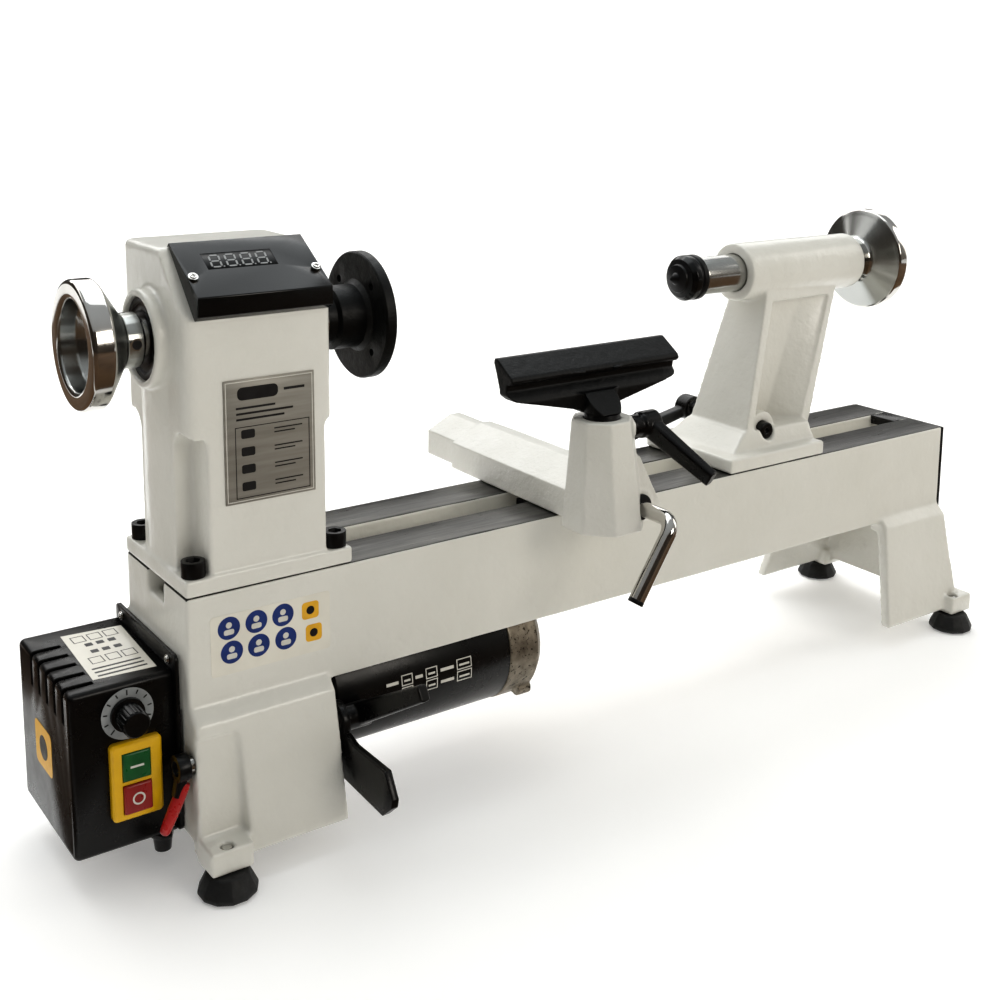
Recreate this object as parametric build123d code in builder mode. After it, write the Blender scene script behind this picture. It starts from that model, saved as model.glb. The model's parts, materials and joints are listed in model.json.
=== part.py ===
from build123d import *
from math import cos, radians, sin
import os

os.makedirs("parts", exist_ok=True)

# A bench-top wood lathe with a 305 mm swing and 460 mm between centres.
# X runs along the bed from headstock to tailstock, Y to the back, Z up.
# Z = 0 is the bench, the spindle line lies over Y = 0, and X = 0 is the
# middle of the machine's length. Millimetres throughout.

# ---- driving dimensions -------------------------------------------------
swing = 305.0
bed_top = 179.0
bed_length = 720.0
bed_half = 51.0
bed_depth = 75.5
bed_wall = 9.0
way_thickness = 14.0
slot_half = 12.8
bed_left = -331.0

headstock_length = 114.5
headstock_height = 209.0
bearing_r = 26.0
spindle_r = 12.5

motor_drop = 103.0
motor_r = 44.0
pivot_y = -53.0
pivot_drop = 105.0
pivot_r = 5.0

tail_base_left = 455.0
tail_base_right = 563.0
barrel_r = 24.0
quill_r = 15.3

banjo_x = 313.0
rest_x = 293.0
rest_y = -85.0
rest_stem_r = 12.5
cam_x = 317.0
cam_z = 13.0

box_left = -69.3
box_front = -37.6
box_back = 63.7
box_top = -48.5
box_bottom = -155.9
box_wall = 2.5

slide_gap = 0.15
running = 0.05
clear = 0.3

spindle_z = bed_top + swing / 2
motor_z = bed_top - motor_drop
pivot_z = bed_top - pivot_drop
bed_right = bed_left + bed_length


def at_x(x):
    """X of a point measured from the headstock end of the bed."""
    return bed_left + x


def at_z(z):
    """Z of a point measured from the tops of the ways."""
    return bed_top + z


# ---- helpers that add to the part in hand -------------------------------
def block(xs, ys, zs, mode=Mode.ADD):
    """A box between two X, two Y and two Z values."""
    centre = (sum(xs) / 2, sum(ys) / 2, sum(zs) / 2)
    with Locations(centre):
        Box(xs[1] - xs[0], ys[1] - ys[0], zs[1] - zs[0], mode=mode)


def rod(start, end, radius, mode=Mode.ADD):
    """A round bar from one point to another."""
    run = Vector(*end) - Vector(*start)
    with Locations(Plane(origin=start, z_dir=run).location):
        Cylinder(
            radius,
            run.length,
            align=(Align.CENTER, Align.CENTER, Align.MIN),
            mode=mode,
        )


def hexagon(start, end, across, mode=Mode.ADD):
    """A hexagonal bar from one point to another."""
    run = Vector(*end) - Vector(*start)
    with BuildPart() as bar:
        with BuildSketch(Plane(origin=start, z_dir=run)):
            RegularPolygon(across / 2, 6, major_radius=False)
        extrude(amount=run.length)
    add(bar.part, mode=mode)


def turned(outline, y=0.0, z=spindle_z):
    """A solid of revolution about a line along X, from (x, radius) points."""
    with BuildPart() as solid:
        with BuildSketch(Plane((0, y, z), x_dir=(1, 0, 0), z_dir=(0, -1, 0))):
            with BuildLine():
                Polyline(*outline, close=True)
            make_face()
        revolve(axis=Axis((0, y, z), (1, 0, 0)))
    return solid.part


def socket_screw(head_base, direction, head_r, head_h, shank_r, shank):
    """A socket-head screw whose head stands on head_base."""
    base = Vector(*head_base)
    way = Vector(*direction)
    socket = head_r * 0.55
    rod(base, base + way * head_h, head_r)
    rod(base, base - way * shank, shank_r)
    hexagon(
        base + way * (head_h * 0.45),
        base + way * (head_h + 1),
        socket * 2,
        Mode.SUBTRACT,
    )


def cross_screw(head_base, direction, head_r, head_h, shank_r, shank):
    """A cross-recess screw with a domed head."""
    base = Vector(*head_base)
    way = Vector(*direction)
    rod(base - way * shank, base, shank_r)
    rod(base, base + way * (head_h * 0.6), head_r)
    rod(base + way * (head_h * 0.6), base + way * head_h, head_r * 0.72)
    plane = Plane(origin=base + way * head_h, z_dir=way)
    with BuildPart() as recess:
        with BuildSketch(plane):
            Rectangle(head_r * 1.0, head_r * 0.28)
            Rectangle(head_r * 0.28, head_r * 1.0)
        extrude(amount=-head_h * 0.5)
    add(recess.part, mode=Mode.SUBTRACT)


def tapered_bar(start, end, size_start, size_end, side, mode=Mode.ADD):
    """A bar of rounded rectangular section that tapers between two points."""
    run = Vector(*end) - Vector(*start)
    first = Plane(origin=start, x_dir=side, z_dir=run)
    last = Plane(origin=end, x_dir=side, z_dir=run)
    with BuildPart() as bar:
        with BuildSketch(first):
            RectangleRounded(*size_start, min(size_start) * 0.3)
        with BuildSketch(last):
            RectangleRounded(*size_end, min(size_end) * 0.3)
        loft()
    add(bar.part, mode=mode)


def tapered_box(low, high, mode=Mode.ADD):
    """A loft between two level rectangles, each (x0, x1, y0, y1, z)."""
    with BuildPart() as solid:
        for x0, x1, y0, y1, z in (low, high):
            with BuildSketch(Plane.XY.offset(z)):
                with Locations(((x0 + x1) / 2, (y0 + y1) / 2)):
                    Rectangle(x1 - x0, y1 - y0)
        loft()
    add(solid.part, mode=mode)


def lofted(low, high, mode=Mode.ADD):
    """A loft between two level outlines, each (z, corner points)."""
    with BuildPart() as solid:
        for z, corners in (low, high):
            with BuildSketch(Plane.XY.offset(z)):
                with BuildLine():
                    Polyline(*corners, close=True)
                make_face()
        loft()
    add(solid.part, mode=mode)


def finish_part(piece, name):
    """Name a finished piece and write it out."""
    piece.part.label = name
    export_step(piece.part, f"parts/{name}.step")


# ---- bed and legs, one casting ------------------------------------------
shoulder_z = at_z(-70)
skirt_top_z = at_z(-79)
skirt_bottom_z = at_z(-161)
lug_bottom_z = at_z(-165)
lug_top_z = at_z(-149)
skirt_top_half = 60.0
skirt_bottom_half = 79.0
foot_y = 79.0
foot_xs = (at_x(10), at_x(712))
lug_spans = ((at_x(-3), at_x(25)), (at_x(704), at_x(731)))
belt_opening = (at_x(22), at_x(92))
flange_screws = ((50, at_z(-43.5)), (-31, at_z(-43.5)))
window_r = 34.0

with BuildPart() as bed_casting:
    block((bed_left, bed_right), (-bed_half, bed_half), (at_z(-bed_depth), bed_top))
    # Each leg is a shoulder that spreads from the rail, over a flared skirt.
    for x_top, x_bottom in (
        ((at_x(0), at_x(96)), (at_x(-2), at_x(95))),
        ((at_x(639), at_x(720)), (at_x(626), at_x(722))),
    ):
        tapered_box(
            (*x_top, -skirt_top_half, skirt_top_half, skirt_top_z),
            (*x_top, -bed_half, bed_half, shoulder_z),
        )
        tapered_box(
            (*x_bottom, -skirt_bottom_half, skirt_bottom_half, skirt_bottom_z),
            (*x_top, -skirt_top_half, skirt_top_half, skirt_top_z),
        )
    # The channel under the ways, and the slot between them.
    block(
        (at_x(bed_wall), at_x(711)),
        (-bed_half + bed_wall, bed_half - bed_wall),
        (at_z(-bed_depth - 12), at_z(-way_thickness)),
        Mode.SUBTRACT,
    )
    block(
        (at_x(-1), at_x(706)),
        (-slot_half, slot_half),
        (at_z(-way_thickness - 1), at_z(1)),
        Mode.SUBTRACT,
    )
    # The belt drops through the ways under the headstock.
    block(belt_opening, (-37, 37), (at_z(-20), at_z(1)), Mode.SUBTRACT)
    # Inside of the left leg: the belt bay, narrower where the foot's corner is.
    tapered_box(
        (at_x(34), at_x(88), -71, 71, at_z(-170)),
        (at_x(34), at_x(88), -50, 50, at_z(-84)),
        Mode.SUBTRACT,
    )
    tapered_box(
        (at_x(7), at_x(40), -56, 56, at_z(-170)),
        (at_x(8), at_x(40), -49, 49, at_z(-84)),
        Mode.SUBTRACT,
    )
    # Inside of the right leg, open towards the middle of the bed.
    tapered_box(
        (at_x(600), at_x(712), -72, 72, at_z(-170)),
        (at_x(600), at_x(711), -50, 50, at_z(-84)),
        Mode.SUBTRACT,
    )
    # Corner pockets over the front and back feet of the left leg.
    for side in (-1, 1):
        low = sorted((side * 66.5, side * 96))
        high = sorted((side * 59.5, side * 80))
        tapered_box(
            (at_x(-6), at_x(27), *low, lug_top_z),
            (at_x(-6), at_x(27), *high, at_z(-86)),
            Mode.SUBTRACT,
        )
    # Raised pad on the end that the control box is screwed to.
    block((at_x(-2.3), at_x(1)), (-38, 56), (at_z(-74), at_z(-40)))
    for y, z in flange_screws:
        rod((at_x(-3), y, z), (at_x(0), y, z), 1.65, Mode.SUBTRACT)
    # Lugs that the feet screw into.
    for span in lug_spans:
        for side in (-1, 1):
            block(span, sorted((side * 62, side * 86)), (lug_bottom_z, lug_top_z))
    # Arches in the end walls, between the feet.
    block((at_x(-5), at_x(9)), (-55, 55), (at_z(-170), at_z(-156)), Mode.SUBTRACT)
    block((at_x(709), at_x(725)), (-60, 60), (at_z(-170), at_z(-158)), Mode.SUBTRACT)
    # Window in the left leg's inner wall for the motor's shaft and nose.
    for lift in (0, 8):
        z = motor_z + lift
        rod((at_x(80), 0, z), (at_x(100), 0, z), window_r, Mode.SUBTRACT)
    # Bore for the motor's pivot shaft.
    rod(
        (at_x(-5), pivot_y, pivot_z),
        (at_x(100), pivot_y, pivot_z),
        pivot_r + running,
        Mode.SUBTRACT,
    )
    # Stud holes through the lugs.
    for x in foot_xs:
        for y in (-foot_y, foot_y):
            rod((x, y, at_z(-170)), (x, y, at_z(-140)), 4.3, Mode.SUBTRACT)
    # Tapped holes for the headstock bolts.
    for x in (at_x(9), at_x(106)):
        for y in (-42, 42):
            rod((x, y, at_z(-20)), (x, y, at_z(1)), 3.6, Mode.SUBTRACT)
    # Tapped holes for the end plate.
    for y in (-38, 38):
        rod((at_x(700), y, at_z(-62)), (at_x(725), y, at_z(-62)), 2.1, Mode.SUBTRACT)
finish_part(bed_casting, "bed_casting")

# ---- end plate, feet ----------------------------------------------------
with BuildPart() as bed_end_plate:
    block((bed_right, bed_right + 4), (-50.5, 50.5), (at_z(-78.5), at_z(-0.5)))
    chamfer(bed_end_plate.faces().sort_by(Axis.X)[-1].edges(), 0.8)
    for y in (-38, 38):
        rod((bed_right - 1, y, at_z(-62)), (bed_right + 5, y, at_z(-62)), 2.1, Mode.SUBTRACT)
finish_part(bed_end_plate, "bed_end_plate")

foot_bottom_r = 18.8
foot_top_r = 13.2
with BuildPart() as rubber_feet:
    for x in foot_xs:
        for y in (-foot_y, foot_y):
            with Locations((x, y, 1.5)):
                Cone(
                    foot_bottom_r,
                    foot_top_r,
                    lug_bottom_z - 1.5,
                    align=(Align.CENTER, Align.CENTER, Align.MIN),
                )
            rod((x, y, 0), (x, y, 1.5), foot_bottom_r - 0.6)
            rod((x, y, 2), (x, y, lug_bottom_z + 1), 3.0, Mode.SUBTRACT)
finish_part(rubber_feet, "rubber_feet")

with BuildPart() as foot_studs:
    for x in foot_xs:
        for y in (-foot_y, foot_y):
            rod((x, y, 2.0), (x, y, lug_top_z - 1.5), 3.0)
            hexagon((x, y, lug_bottom_z + 5.0), (x, y, lug_bottom_z + 10), 7.2)
finish_part(foot_studs, "foot_studs")

# ---- headstock casting --------------------------------------------------
body_left = at_x(4.5)
body_right = at_x(103.5)
body_half = 49.0
bay = (at_x(18), at_x(90))
roof_z = at_z(headstock_height)
door_low = at_z(34)
door_high = at_z(150)
door_left = at_x(26)
door_right = at_x(82)

with BuildPart() as headstock_casting:
    # Body with rounded upright corners.
    with BuildSketch(Plane.XY.offset(at_z(5))):
        with Locations(((body_left + body_right) / 2, 0)):
            RectangleRounded(body_right - body_left, body_half * 2, 8)
    extrude(amount=roof_z - at_z(5))
    # The roof falls away at the front, where the display sits.
    with BuildSketch(Plane.YZ.offset(body_left - 5)):
        with BuildLine():
            Polyline(
                (-60, at_z(157)),
                (-body_half, at_z(169)),
                (-12, roof_z),
                (-12, roof_z + 20),
                (-60, roof_z + 20),
                close=True,
            )
        make_face()
    extrude(amount=120, mode=Mode.SUBTRACT)
    fillet(headstock_casting.edges().group_by(Axis.Z)[-1], 4)
    # Bolt pockets at the four lower corners.
    for xs in ((body_left - 5, at_x(17)), (at_x(97), body_right + 5)):
        for side in (-1, 1):
            block(xs, sorted((side * 27, side * 60)), (at_z(5), at_z(88)), Mode.SUBTRACT)
            x_inner = xs[1] if xs[0] < body_left else xs[0]
            x_outer = xs[0] if xs[0] < body_left else xs[1]
            rod((x_outer, side * 39, at_z(88)), (x_inner, side * 39, at_z(88)), 12, Mode.SUBTRACT)
    # Base plate.
    block(
        (at_x(0), at_x(headstock_length)),
        (-bed_half, bed_half),
        (bed_top, at_z(11)),
    )
    # The round swell down each end, under the bearing bosses.
    for x, reach in ((at_x(17), -15.5), (at_x(90), 14.2)):
        with BuildSketch(Plane.XY.offset(at_z(8))):
            with Locations((x + reach * 0.52, 0)):
                Ellipse(abs(reach) * 0.48, 27)
        extrude(amount=swing / 2 - 8)
    # Bearing bosses.
    rod((at_x(-5), 0, spindle_z), (at_x(20), 0, spindle_z), 31)
    rod((at_x(90), 0, spindle_z), (at_x(107), 0, spindle_z), 31)
    chamfer(headstock_casting.faces().sort_by(Axis.X)[0].edges(), 1.2)
    # Belt bay, open to the bed below.
    block(bay, (-39, 39), (bed_top - 1, at_z(186)), Mode.SUBTRACT)
    # Bearing seats and the way through for the spindle.
    rod((at_x(-6), 0, spindle_z), (at_x(108), 0, spindle_z), 21, Mode.SUBTRACT)
    rod((at_x(-6), 0, spindle_z), (at_x(13), 0, spindle_z), bearing_r, Mode.SUBTRACT)
    rod((at_x(93), 0, spindle_z), (at_x(108), 0, spindle_z), bearing_r, Mode.SUBTRACT)
    # Door opening at the back.
    block((door_left, door_right), (30, 60), (door_low, door_high), Mode.SUBTRACT)
    # Bolt holes in the base plate.
    for x in (at_x(9), at_x(106)):
        for y in (-42, 42):
            rod((x, y, bed_top - 1), (x, y, at_z(12)), 4.5, Mode.SUBTRACT)
finish_part(headstock_casting, "headstock_casting")

with BuildPart() as headstock_bolts:
    for x in (at_x(9), at_x(106)):
        for y in (-42, 42):
            socket_screw((x, y, at_z(11)), (0, 0, 1), 7.4, 10, 3.6, 24)
finish_part(headstock_bolts, "headstock_bolts")

with BuildPart() as spindle_bearings:
    for x0, x1 in ((at_x(-2), at_x(13)), (at_x(93), at_x(104.5))):
        inner = spindle_r + running
        add(turned([(x0, inner), (x0, bearing_r), (x1, bearing_r), (x1, inner)]))
        # Groove between the outer and the inner ring, on both faces.
        for face, depth in ((x0, 1.0), (x1, -1.0)):
            groove = [(face, 17.0), (face, 21.5), (face + depth, 21.5), (face + depth, 17.0)]
            add(turned(groove), mode=Mode.SUBTRACT)
finish_part(spindle_bearings, "spindle_bearings")

# ---- speed display on the sloping roof ----------------------------------
display_xs = (at_x(12), at_x(100))
slope_top = (-12.0, headstock_height)
slope_foot = (-body_half, 169.0)
face_top = (-12.5, 211.6)
face_foot = (-55.5, 184.0)

with BuildPart() as display_housing:
    with BuildSketch(Plane.YZ.offset(display_xs[0])):
        with BuildLine():
            Polyline(
                (slope_foot[0] - 0.2, at_z(slope_foot[1])),
                (slope_foot[0] - 6.5, at_z(slope_foot[1] + 3.5)),
                (face_foot[0], at_z(face_foot[1])),
                (face_top[0], at_z(face_top[1])),
                (slope_top[0] + 2.5, at_z(slope_top[1] + 0.1)),
                (slope_top[0] - 0.2, at_z(slope_top[1] + 0.1)),
                close=True,
            )
        make_face()
    extrude(amount=display_xs[1] - display_xs[0])
    fillet(display_housing.edges().filter_by(Axis.X).sort_by(Axis.Y)[:3], 1.6)
    # A shallow seat for the window, in the sloping face.
    face_slope = Vector(0, face_top[0] - face_foot[0], face_top[1] - face_foot[1])
    face_out = Vector(0, -face_slope.Z, face_slope.Y).normalized()
    window_mid = Vector(
        at_x(50.5),
        (face_top[0] * 0.62 + face_foot[0] * 0.38),
        at_z(face_top[1] * 0.62 + face_foot[1] * 0.38),
    )
    window_plane = Plane(origin=window_mid, x_dir=(1, 0, 0), z_dir=face_out)
    with BuildSketch(window_plane):
        Rectangle(46, 15)
    extrude(amount=-1.6, mode=Mode.SUBTRACT)
    # Holes for the two cover screws.
    screw_points = [
        Vector(x, face_top[0] * 0.36 + face_foot[0] * 0.64, at_z(face_top[1] * 0.36 + face_foot[1] * 0.64))
        for x in (at_x(15.5), at_x(96.5))
    ]
    for point in screw_points:
        rod(point - face_out * 7, point + face_out, 1.6, Mode.SUBTRACT)
finish_part(display_housing, "display_housing")

with BuildPart() as display_window:
    with BuildSketch(window_plane.offset(-1.6)):
        Rectangle(45.8, 14.8)
    extrude(amount=1.5)
finish_part(display_window, "display_window")

# ---- rating plate -------------------------------------------------------
with BuildPart() as rating_plate:
    block((at_x(28.3), at_x(89)), (-body_half - 0.6, -body_half), (at_z(53.5), at_z(131)))
finish_part(rating_plate, "rating_plate")

# ---- spindle ------------------------------------------------------------
bore_r = 4.8
spindle_steps = (31.0, 26.0, 21.0)
motor_steps = (15.0, 20.0, 25.0)
step_width = 14.0
pulley_left = at_x(35)


def pulley_outline(steps, bore):
    """Outline of a three-step belt pulley, as (x, radius) points."""
    points = [(pulley_left, bore)]
    x = pulley_left
    for radius in steps:
        points.append((x, radius + 2))
        points.append((x + 1.5, radius + 2))
        points.append((x + 2.5, radius))
        points.append((x + step_width - 2.5, radius))
        points.append((x + step_width - 1.5, radius + 2))
        points.append((x + step_width, radius + 2))
        x += step_width
    points.append((x, bore))
    return points


with BuildPart() as spindle_shaft:
    add(
        turned(
            [
                (at_x(-30), bore_r),
                (at_x(-30), 11),
                (at_x(-4.5), 11),
                (at_x(-4.5), spindle_r),
                (at_x(13.3), spindle_r),
                (at_x(13.3), spindle_r + 1.5),
                (at_x(92.7), spindle_r + 1.5),
                (at_x(92.7), spindle_r),
                (at_x(105.2), spindle_r),
                (at_x(105.2), 19),
                (at_x(117), 19),
                (at_x(117), 12.5),
                (at_x(140), 12.5),
                (at_x(140), 9.0),
                (at_x(110), 7.4),
                (at_x(80), bore_r),
            ]
        )
    )
finish_part(spindle_shaft, "spindle_shaft")

with BuildPart() as spindle_pulley:
    add(turned(pulley_outline(spindle_steps, spindle_r + 1.5)))
finish_part(spindle_pulley, "spindle_pulley")

with BuildPart() as spindle_handwheel:
    add(
        turned(
            [
                (at_x(-5.6), 11),
                (at_x(-5.6), 16.2),
                (at_x(-6.6), 17.2),
                (at_x(-17), 17.2),
                (at_x(-18.5), 19.5),
                (at_x(-31), 38.6),
                (at_x(-32.5), 40),
                (at_x(-43.5), 40),
                (at_x(-45.5), 38.4),
                (at_x(-45.5), 30.2),
                (at_x(-44.2), 28),
                (at_x(-34), 27.4),
                (at_x(-27), 22),
                (at_x(-26), 13),
                (at_x(-31), 13),
                (at_x(-31), 11),
            ]
        )
    )
    rod((at_x(-11.5), -10, spindle_z), (at_x(-11.5), -20, spindle_z), 3.2, Mode.SUBTRACT)
finish_part(spindle_handwheel, "spindle_handwheel")

with BuildPart() as handwheel_set_screw:
    rod((at_x(-11.5), -11.05, spindle_z), (at_x(-11.5), -15.5, spindle_z), 3.1)
    hexagon((at_x(-11.5), -13.5, spindle_z), (at_x(-11.5), -17, spindle_z), 3, Mode.SUBTRACT)
finish_part(handwheel_set_screw, "handwheel_set_screw")

faceplate_pcd = 62.0
faceplate_hole_r = 2.6
faceplate_front = at_x(154)
with BuildPart() as faceplate:
    add(
        turned(
            [
                (at_x(117.2), 12.5),
                (at_x(117.2), 17.5),
                (at_x(124), 17.5),
                (at_x(125.5), 21.4),
                (at_x(143), 21.4),
                (at_x(146), 24.5),
                (at_x(146), 42),
                (at_x(147), 43),
                (at_x(153.2), 43),
                (faceplate_front, 42.2),
                (faceplate_front, 12.5),
            ]
        )
    )
    with Locations(Plane(origin=(faceplate_front, 0, spindle_z), z_dir=(1, 0, 0)).location):
        with PolarLocations(faceplate_pcd / 2, 4, start_angle=45):
            Hole(faceplate_hole_r, 10)
        with PolarLocations(20, 6):
            Hole(1.6, 3)
finish_part(faceplate, "faceplate")

# ---- motor on its tilting carriage --------------------------------------
plate_x = at_x(98.5)
plate_thick = 5.0

with BuildPart() as motor_plate:
    with BuildSketch(Plane.YZ.offset(plate_x)):
        with Locations((0, motor_z)):
            Circle(38)
        with Locations((pivot_y, pivot_z)):
            Circle(13)
        with BuildLine():
            Polyline(
                (pivot_y + 8, pivot_z + 12),
                (0, motor_z + 30),
                (0, motor_z - 34),
                (-66, at_z(-140.5)),
                (-114, at_z(-142.8)),
                (-124.8, at_z(-133)),
                (-126, at_z(-127.4)),
                (-117.2, at_z(-112)),
                (-77, at_z(-112.5)),
                (pivot_y - 11, pivot_z - 4),
                close=True,
            )
        make_face()
    extrude(amount=plate_thick)
    rod((plate_x - 1, 0, motor_z), (plate_x + 6, 0, motor_z), 15, Mode.SUBTRACT)
    rod((plate_x - 1, pivot_y, pivot_z), (plate_x + 6, pivot_y, pivot_z), pivot_r, Mode.SUBTRACT)
    for angle in (45, 135, 225, 315):
        y = 28 * cos(radians(angle))
        z = motor_z + 28 * sin(radians(angle))
        rod((plate_x - 1, y, z), (plate_x + 6, y, z), 2.6, Mode.SUBTRACT)
finish_part(motor_plate, "motor_plate")

with BuildPart() as pivot_shaft:
    rod((at_x(-9), pivot_y, pivot_z), (at_x(114), pivot_y, pivot_z), pivot_r)
finish_part(pivot_shaft, "pivot_shaft")

with BuildPart() as motor_shell:
    add(
        turned(
            [
                (plate_x + plate_thick, 15),
                (plate_x + plate_thick, 40),
                (plate_x + plate_thick + 3, motor_r),
                (at_x(246), motor_r),
                (at_x(246), motor_r - 3),
                (plate_x + plate_thick + 6, motor_r - 3),
                (plate_x + plate_thick + 6, 15),
            ],
            z=motor_z,
        )
    )
    for side in (-1, 1):
        rod(
            (at_x(225), 0, motor_z + side * (motor_r - 6)),
            (at_x(225), 0, motor_z + side * (motor_r + 6)),
            7 + running,
            Mode.SUBTRACT,
        )
finish_part(motor_shell, "motor_shell")

with BuildPart() as motor_end_cap:
    add(
        turned(
            [
                (at_x(246.1), 8),
                (at_x(246.1), motor_r + 0.6),
                (at_x(271), motor_r + 0.6),
                (at_x(277), motor_r - 5),
                (at_x(279), motor_r - 12),
                (at_x(279), 0),
                (at_x(274), 0),
                (at_x(274), 8),
            ],
            z=motor_z,
        )
    )
    # Slots where cooling air leaves the cap.
    for angle in range(0, 360, 30):
        y = 27 * cos(radians(angle))
        z = motor_z + 27 * sin(radians(angle))
        rod((at_x(268), y, z), (at_x(282), y, z), 3.2, Mode.SUBTRACT)
    # Lug for the earthing screw, low on the front.
    rod((at_x(260), -30, motor_z - 33), (at_x(272), -30, motor_z - 33), 5)
finish_part(motor_end_cap, "motor_end_cap")

with BuildPart() as motor_bolts:
    for angle in (45, 135, 225, 315):
        y = 28 * cos(radians(angle))
        z = motor_z + 28 * sin(radians(angle))
        rod((plate_x - 3.5, y, z), (plate_x, y, z), 4.6)
        rod((plate_x, y, z), (plate_x + 5, y, z), 2.5)
        hexagon((plate_x - 4.5, y, z), (plate_x - 1.5, y, z), 4, Mode.SUBTRACT)
finish_part(motor_bolts, "motor_bolts")

with BuildPart() as brush_caps:
    for side in (-1, 1):
        rod(
            (at_x(225), 0, motor_z + side * (motor_r - 3)),
            (at_x(225), 0, motor_z + side * (motor_r + 2.4)),
            7,
        )
        block(
            (at_x(220), at_x(230)),
            (-0.8, 0.8),
            sorted((motor_z + side * (motor_r + 1.2), motor_z + side * (motor_r + 4))),
            Mode.SUBTRACT,
        )
finish_part(brush_caps, "brush_caps")

stem_top = Vector(at_x(-10.4), pivot_y - 1, pivot_z - 16.5)
stem_tip = Vector(at_x(-18.2), pivot_y - 1.8, at_z(-141))
stem_way = (stem_tip - stem_top).normalized()
stem_r = 2.2

with BuildPart() as tension_lever:
    rod((at_x(-3.4), pivot_y, pivot_z), (at_x(-11), pivot_y, pivot_z), 8.5)
    rod((at_x(-2), pivot_y, pivot_z), (at_x(-12), pivot_y, pivot_z), pivot_r, Mode.SUBTRACT)
    tapered_bar(
        (at_x(-7.6), pivot_y, pivot_z - 6.5),
        stem_top + stem_way * 1.0,
        (6.5, 9),
        (5.5, 8),
        (1, 0, 0),
    )
    rod(stem_top, stem_tip, stem_r)
finish_part(tension_lever, "tension_lever")

with BuildPart() as tension_lever_grip:
    grip_start = stem_top + stem_way * 2.6
    tapered_bar(grip_start, stem_tip + stem_way * 2.5, (5.8, 8.4), (6.4, 9.4), (0, 1, 0))
    rod(grip_start - stem_way, stem_tip, stem_r, Mode.SUBTRACT)
finish_part(tension_lever_grip, "tension_lever_grip")

with BuildPart() as motor_armature:
    add(
        turned(
            [
                (at_x(33), 0),
                (at_x(33), 7),
                (plate_x + plate_thick + 8, 7),
                (plate_x + plate_thick + 8, 8),
                (at_x(130), 8),
                (at_x(130), 30),
                (at_x(205), 30),
                (at_x(205), 17),
                (at_x(238), 17),
                (at_x(238), 7.4),
                (at_x(272), 7.4),
                (at_x(272), 0),
            ],
            z=motor_z,
        )
    )
finish_part(motor_armature, "motor_armature")

with BuildPart() as motor_pulley:
    add(turned(pulley_outline(motor_steps, 7), z=motor_z))
finish_part(motor_pulley, "motor_pulley")

belt_step = 1
belt_thick = 4.0
belt_left = pulley_left + belt_step * step_width + 3.0
belt_right = pulley_left + (belt_step + 1) * step_width - 3.0
spindle_belt_r = spindle_steps[belt_step] + running
motor_belt_r = motor_steps[belt_step] + running

with BuildPart() as drive_belt:
    for grow, mode in ((belt_thick, Mode.ADD), (0, Mode.SUBTRACT)):
        with BuildSketch(Plane.YZ.offset(belt_left)):
            with Locations((0, spindle_z)):
                Circle(spindle_belt_r + grow)
            with Locations((0, motor_z)):
                Circle(motor_belt_r + grow)
            make_hull()
        extrude(amount=belt_right - belt_left, mode=mode)
finish_part(drive_belt, "drive_belt")

# ---- ratchet levers -----------------------------------------------------
with BuildPart() as motor_lock_lever:
    rod((plate_x + plate_thick + 0.2, pivot_y, pivot_z), (at_x(108), pivot_y, pivot_z), 8.6)
    rod((at_x(108), pivot_y, pivot_z), (at_x(123), pivot_y, pivot_z), 8.5)
    rod((at_x(100), pivot_y, pivot_z), (at_x(114.2), pivot_y, pivot_z), pivot_r + running, Mode.SUBTRACT)
    tapered_bar(
        (at_x(117), pivot_y - 4, pivot_z + 2.5),
        (at_x(128), -116, at_z(-68)),
        (11, 15),
        (7.5, 11),
        (1, 0, 0),
    )
finish_part(motor_lock_lever, "motor_lock_lever")

# ---- control box --------------------------------------------------------
box_right = -4.6
flange_right = -2.3
knob_x = at_x(-34.5)
knob_z = at_z(-68)
switch_xs = (at_x(-46.6), at_x(-14.8))
switch_zs = (at_z(-135), at_z(-85))
button_xs = (at_x(-40), at_x(-22.5))
start_zs = (at_z(-109.3), at_z(-91.5))
stop_zs = (at_z(-130.3), at_z(-112))

with BuildPart() as control_box_shell:
    block((at_x(box_left), at_x(box_right)), (box_front, box_back), (at_z(box_bottom), at_z(box_top)))
    fillet(
        control_box_shell.edges().filter_by(Axis.X)
        + control_box_shell.edges().filter_by(Axis.Z).group_by(Axis.X)[0]
        + control_box_shell.edges().filter_by(Axis.Y).group_by(Axis.X)[0],
        4,
    )
    block(
        (at_x(box_left + box_wall), at_x(1)),
        (box_front + box_wall, box_back - box_wall),
        (at_z(box_bottom + box_wall), at_z(box_top - box_wall)),
        Mode.SUBTRACT,
    )
    # Five cooling slots that wrap over the top left edge.
    for i in range(5):
        y = -26 + 15.5 * i
        block(
            (at_x(box_left - 1), at_x(box_left + 19)),
            (y - 2.2, y + 2.2),
            (at_z(box_top - 22), at_z(box_top + 1)),
            Mode.SUBTRACT,
        )
    # Bars left standing inside the slots keep the top closed at mid depth.
    block(
        (at_x(box_left + 4.2), at_x(box_left + 20)),
        (-36, 46),
        (at_z(box_top - 6), at_z(box_top - 3.5)),
    )
    # Way in for the switch, the knob's spindle and the gland.
    block(
        (switch_xs[0] + 3, switch_xs[1] - 3),
        (box_front - 1, box_front + 4),
        (switch_zs[0] + 3, switch_zs[1] - 3),
        Mode.SUBTRACT,
    )
    rod((knob_x, box_front - 2, knob_z), (knob_x, box_front + 4, knob_z), 4, Mode.SUBTRACT)
    rod((at_x(-12), -30, at_z(box_bottom - 2)), (at_x(-12), -30, at_z(box_bottom + 5)), 4.5, Mode.SUBTRACT)
finish_part(control_box_shell, "control_box_shell")

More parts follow.
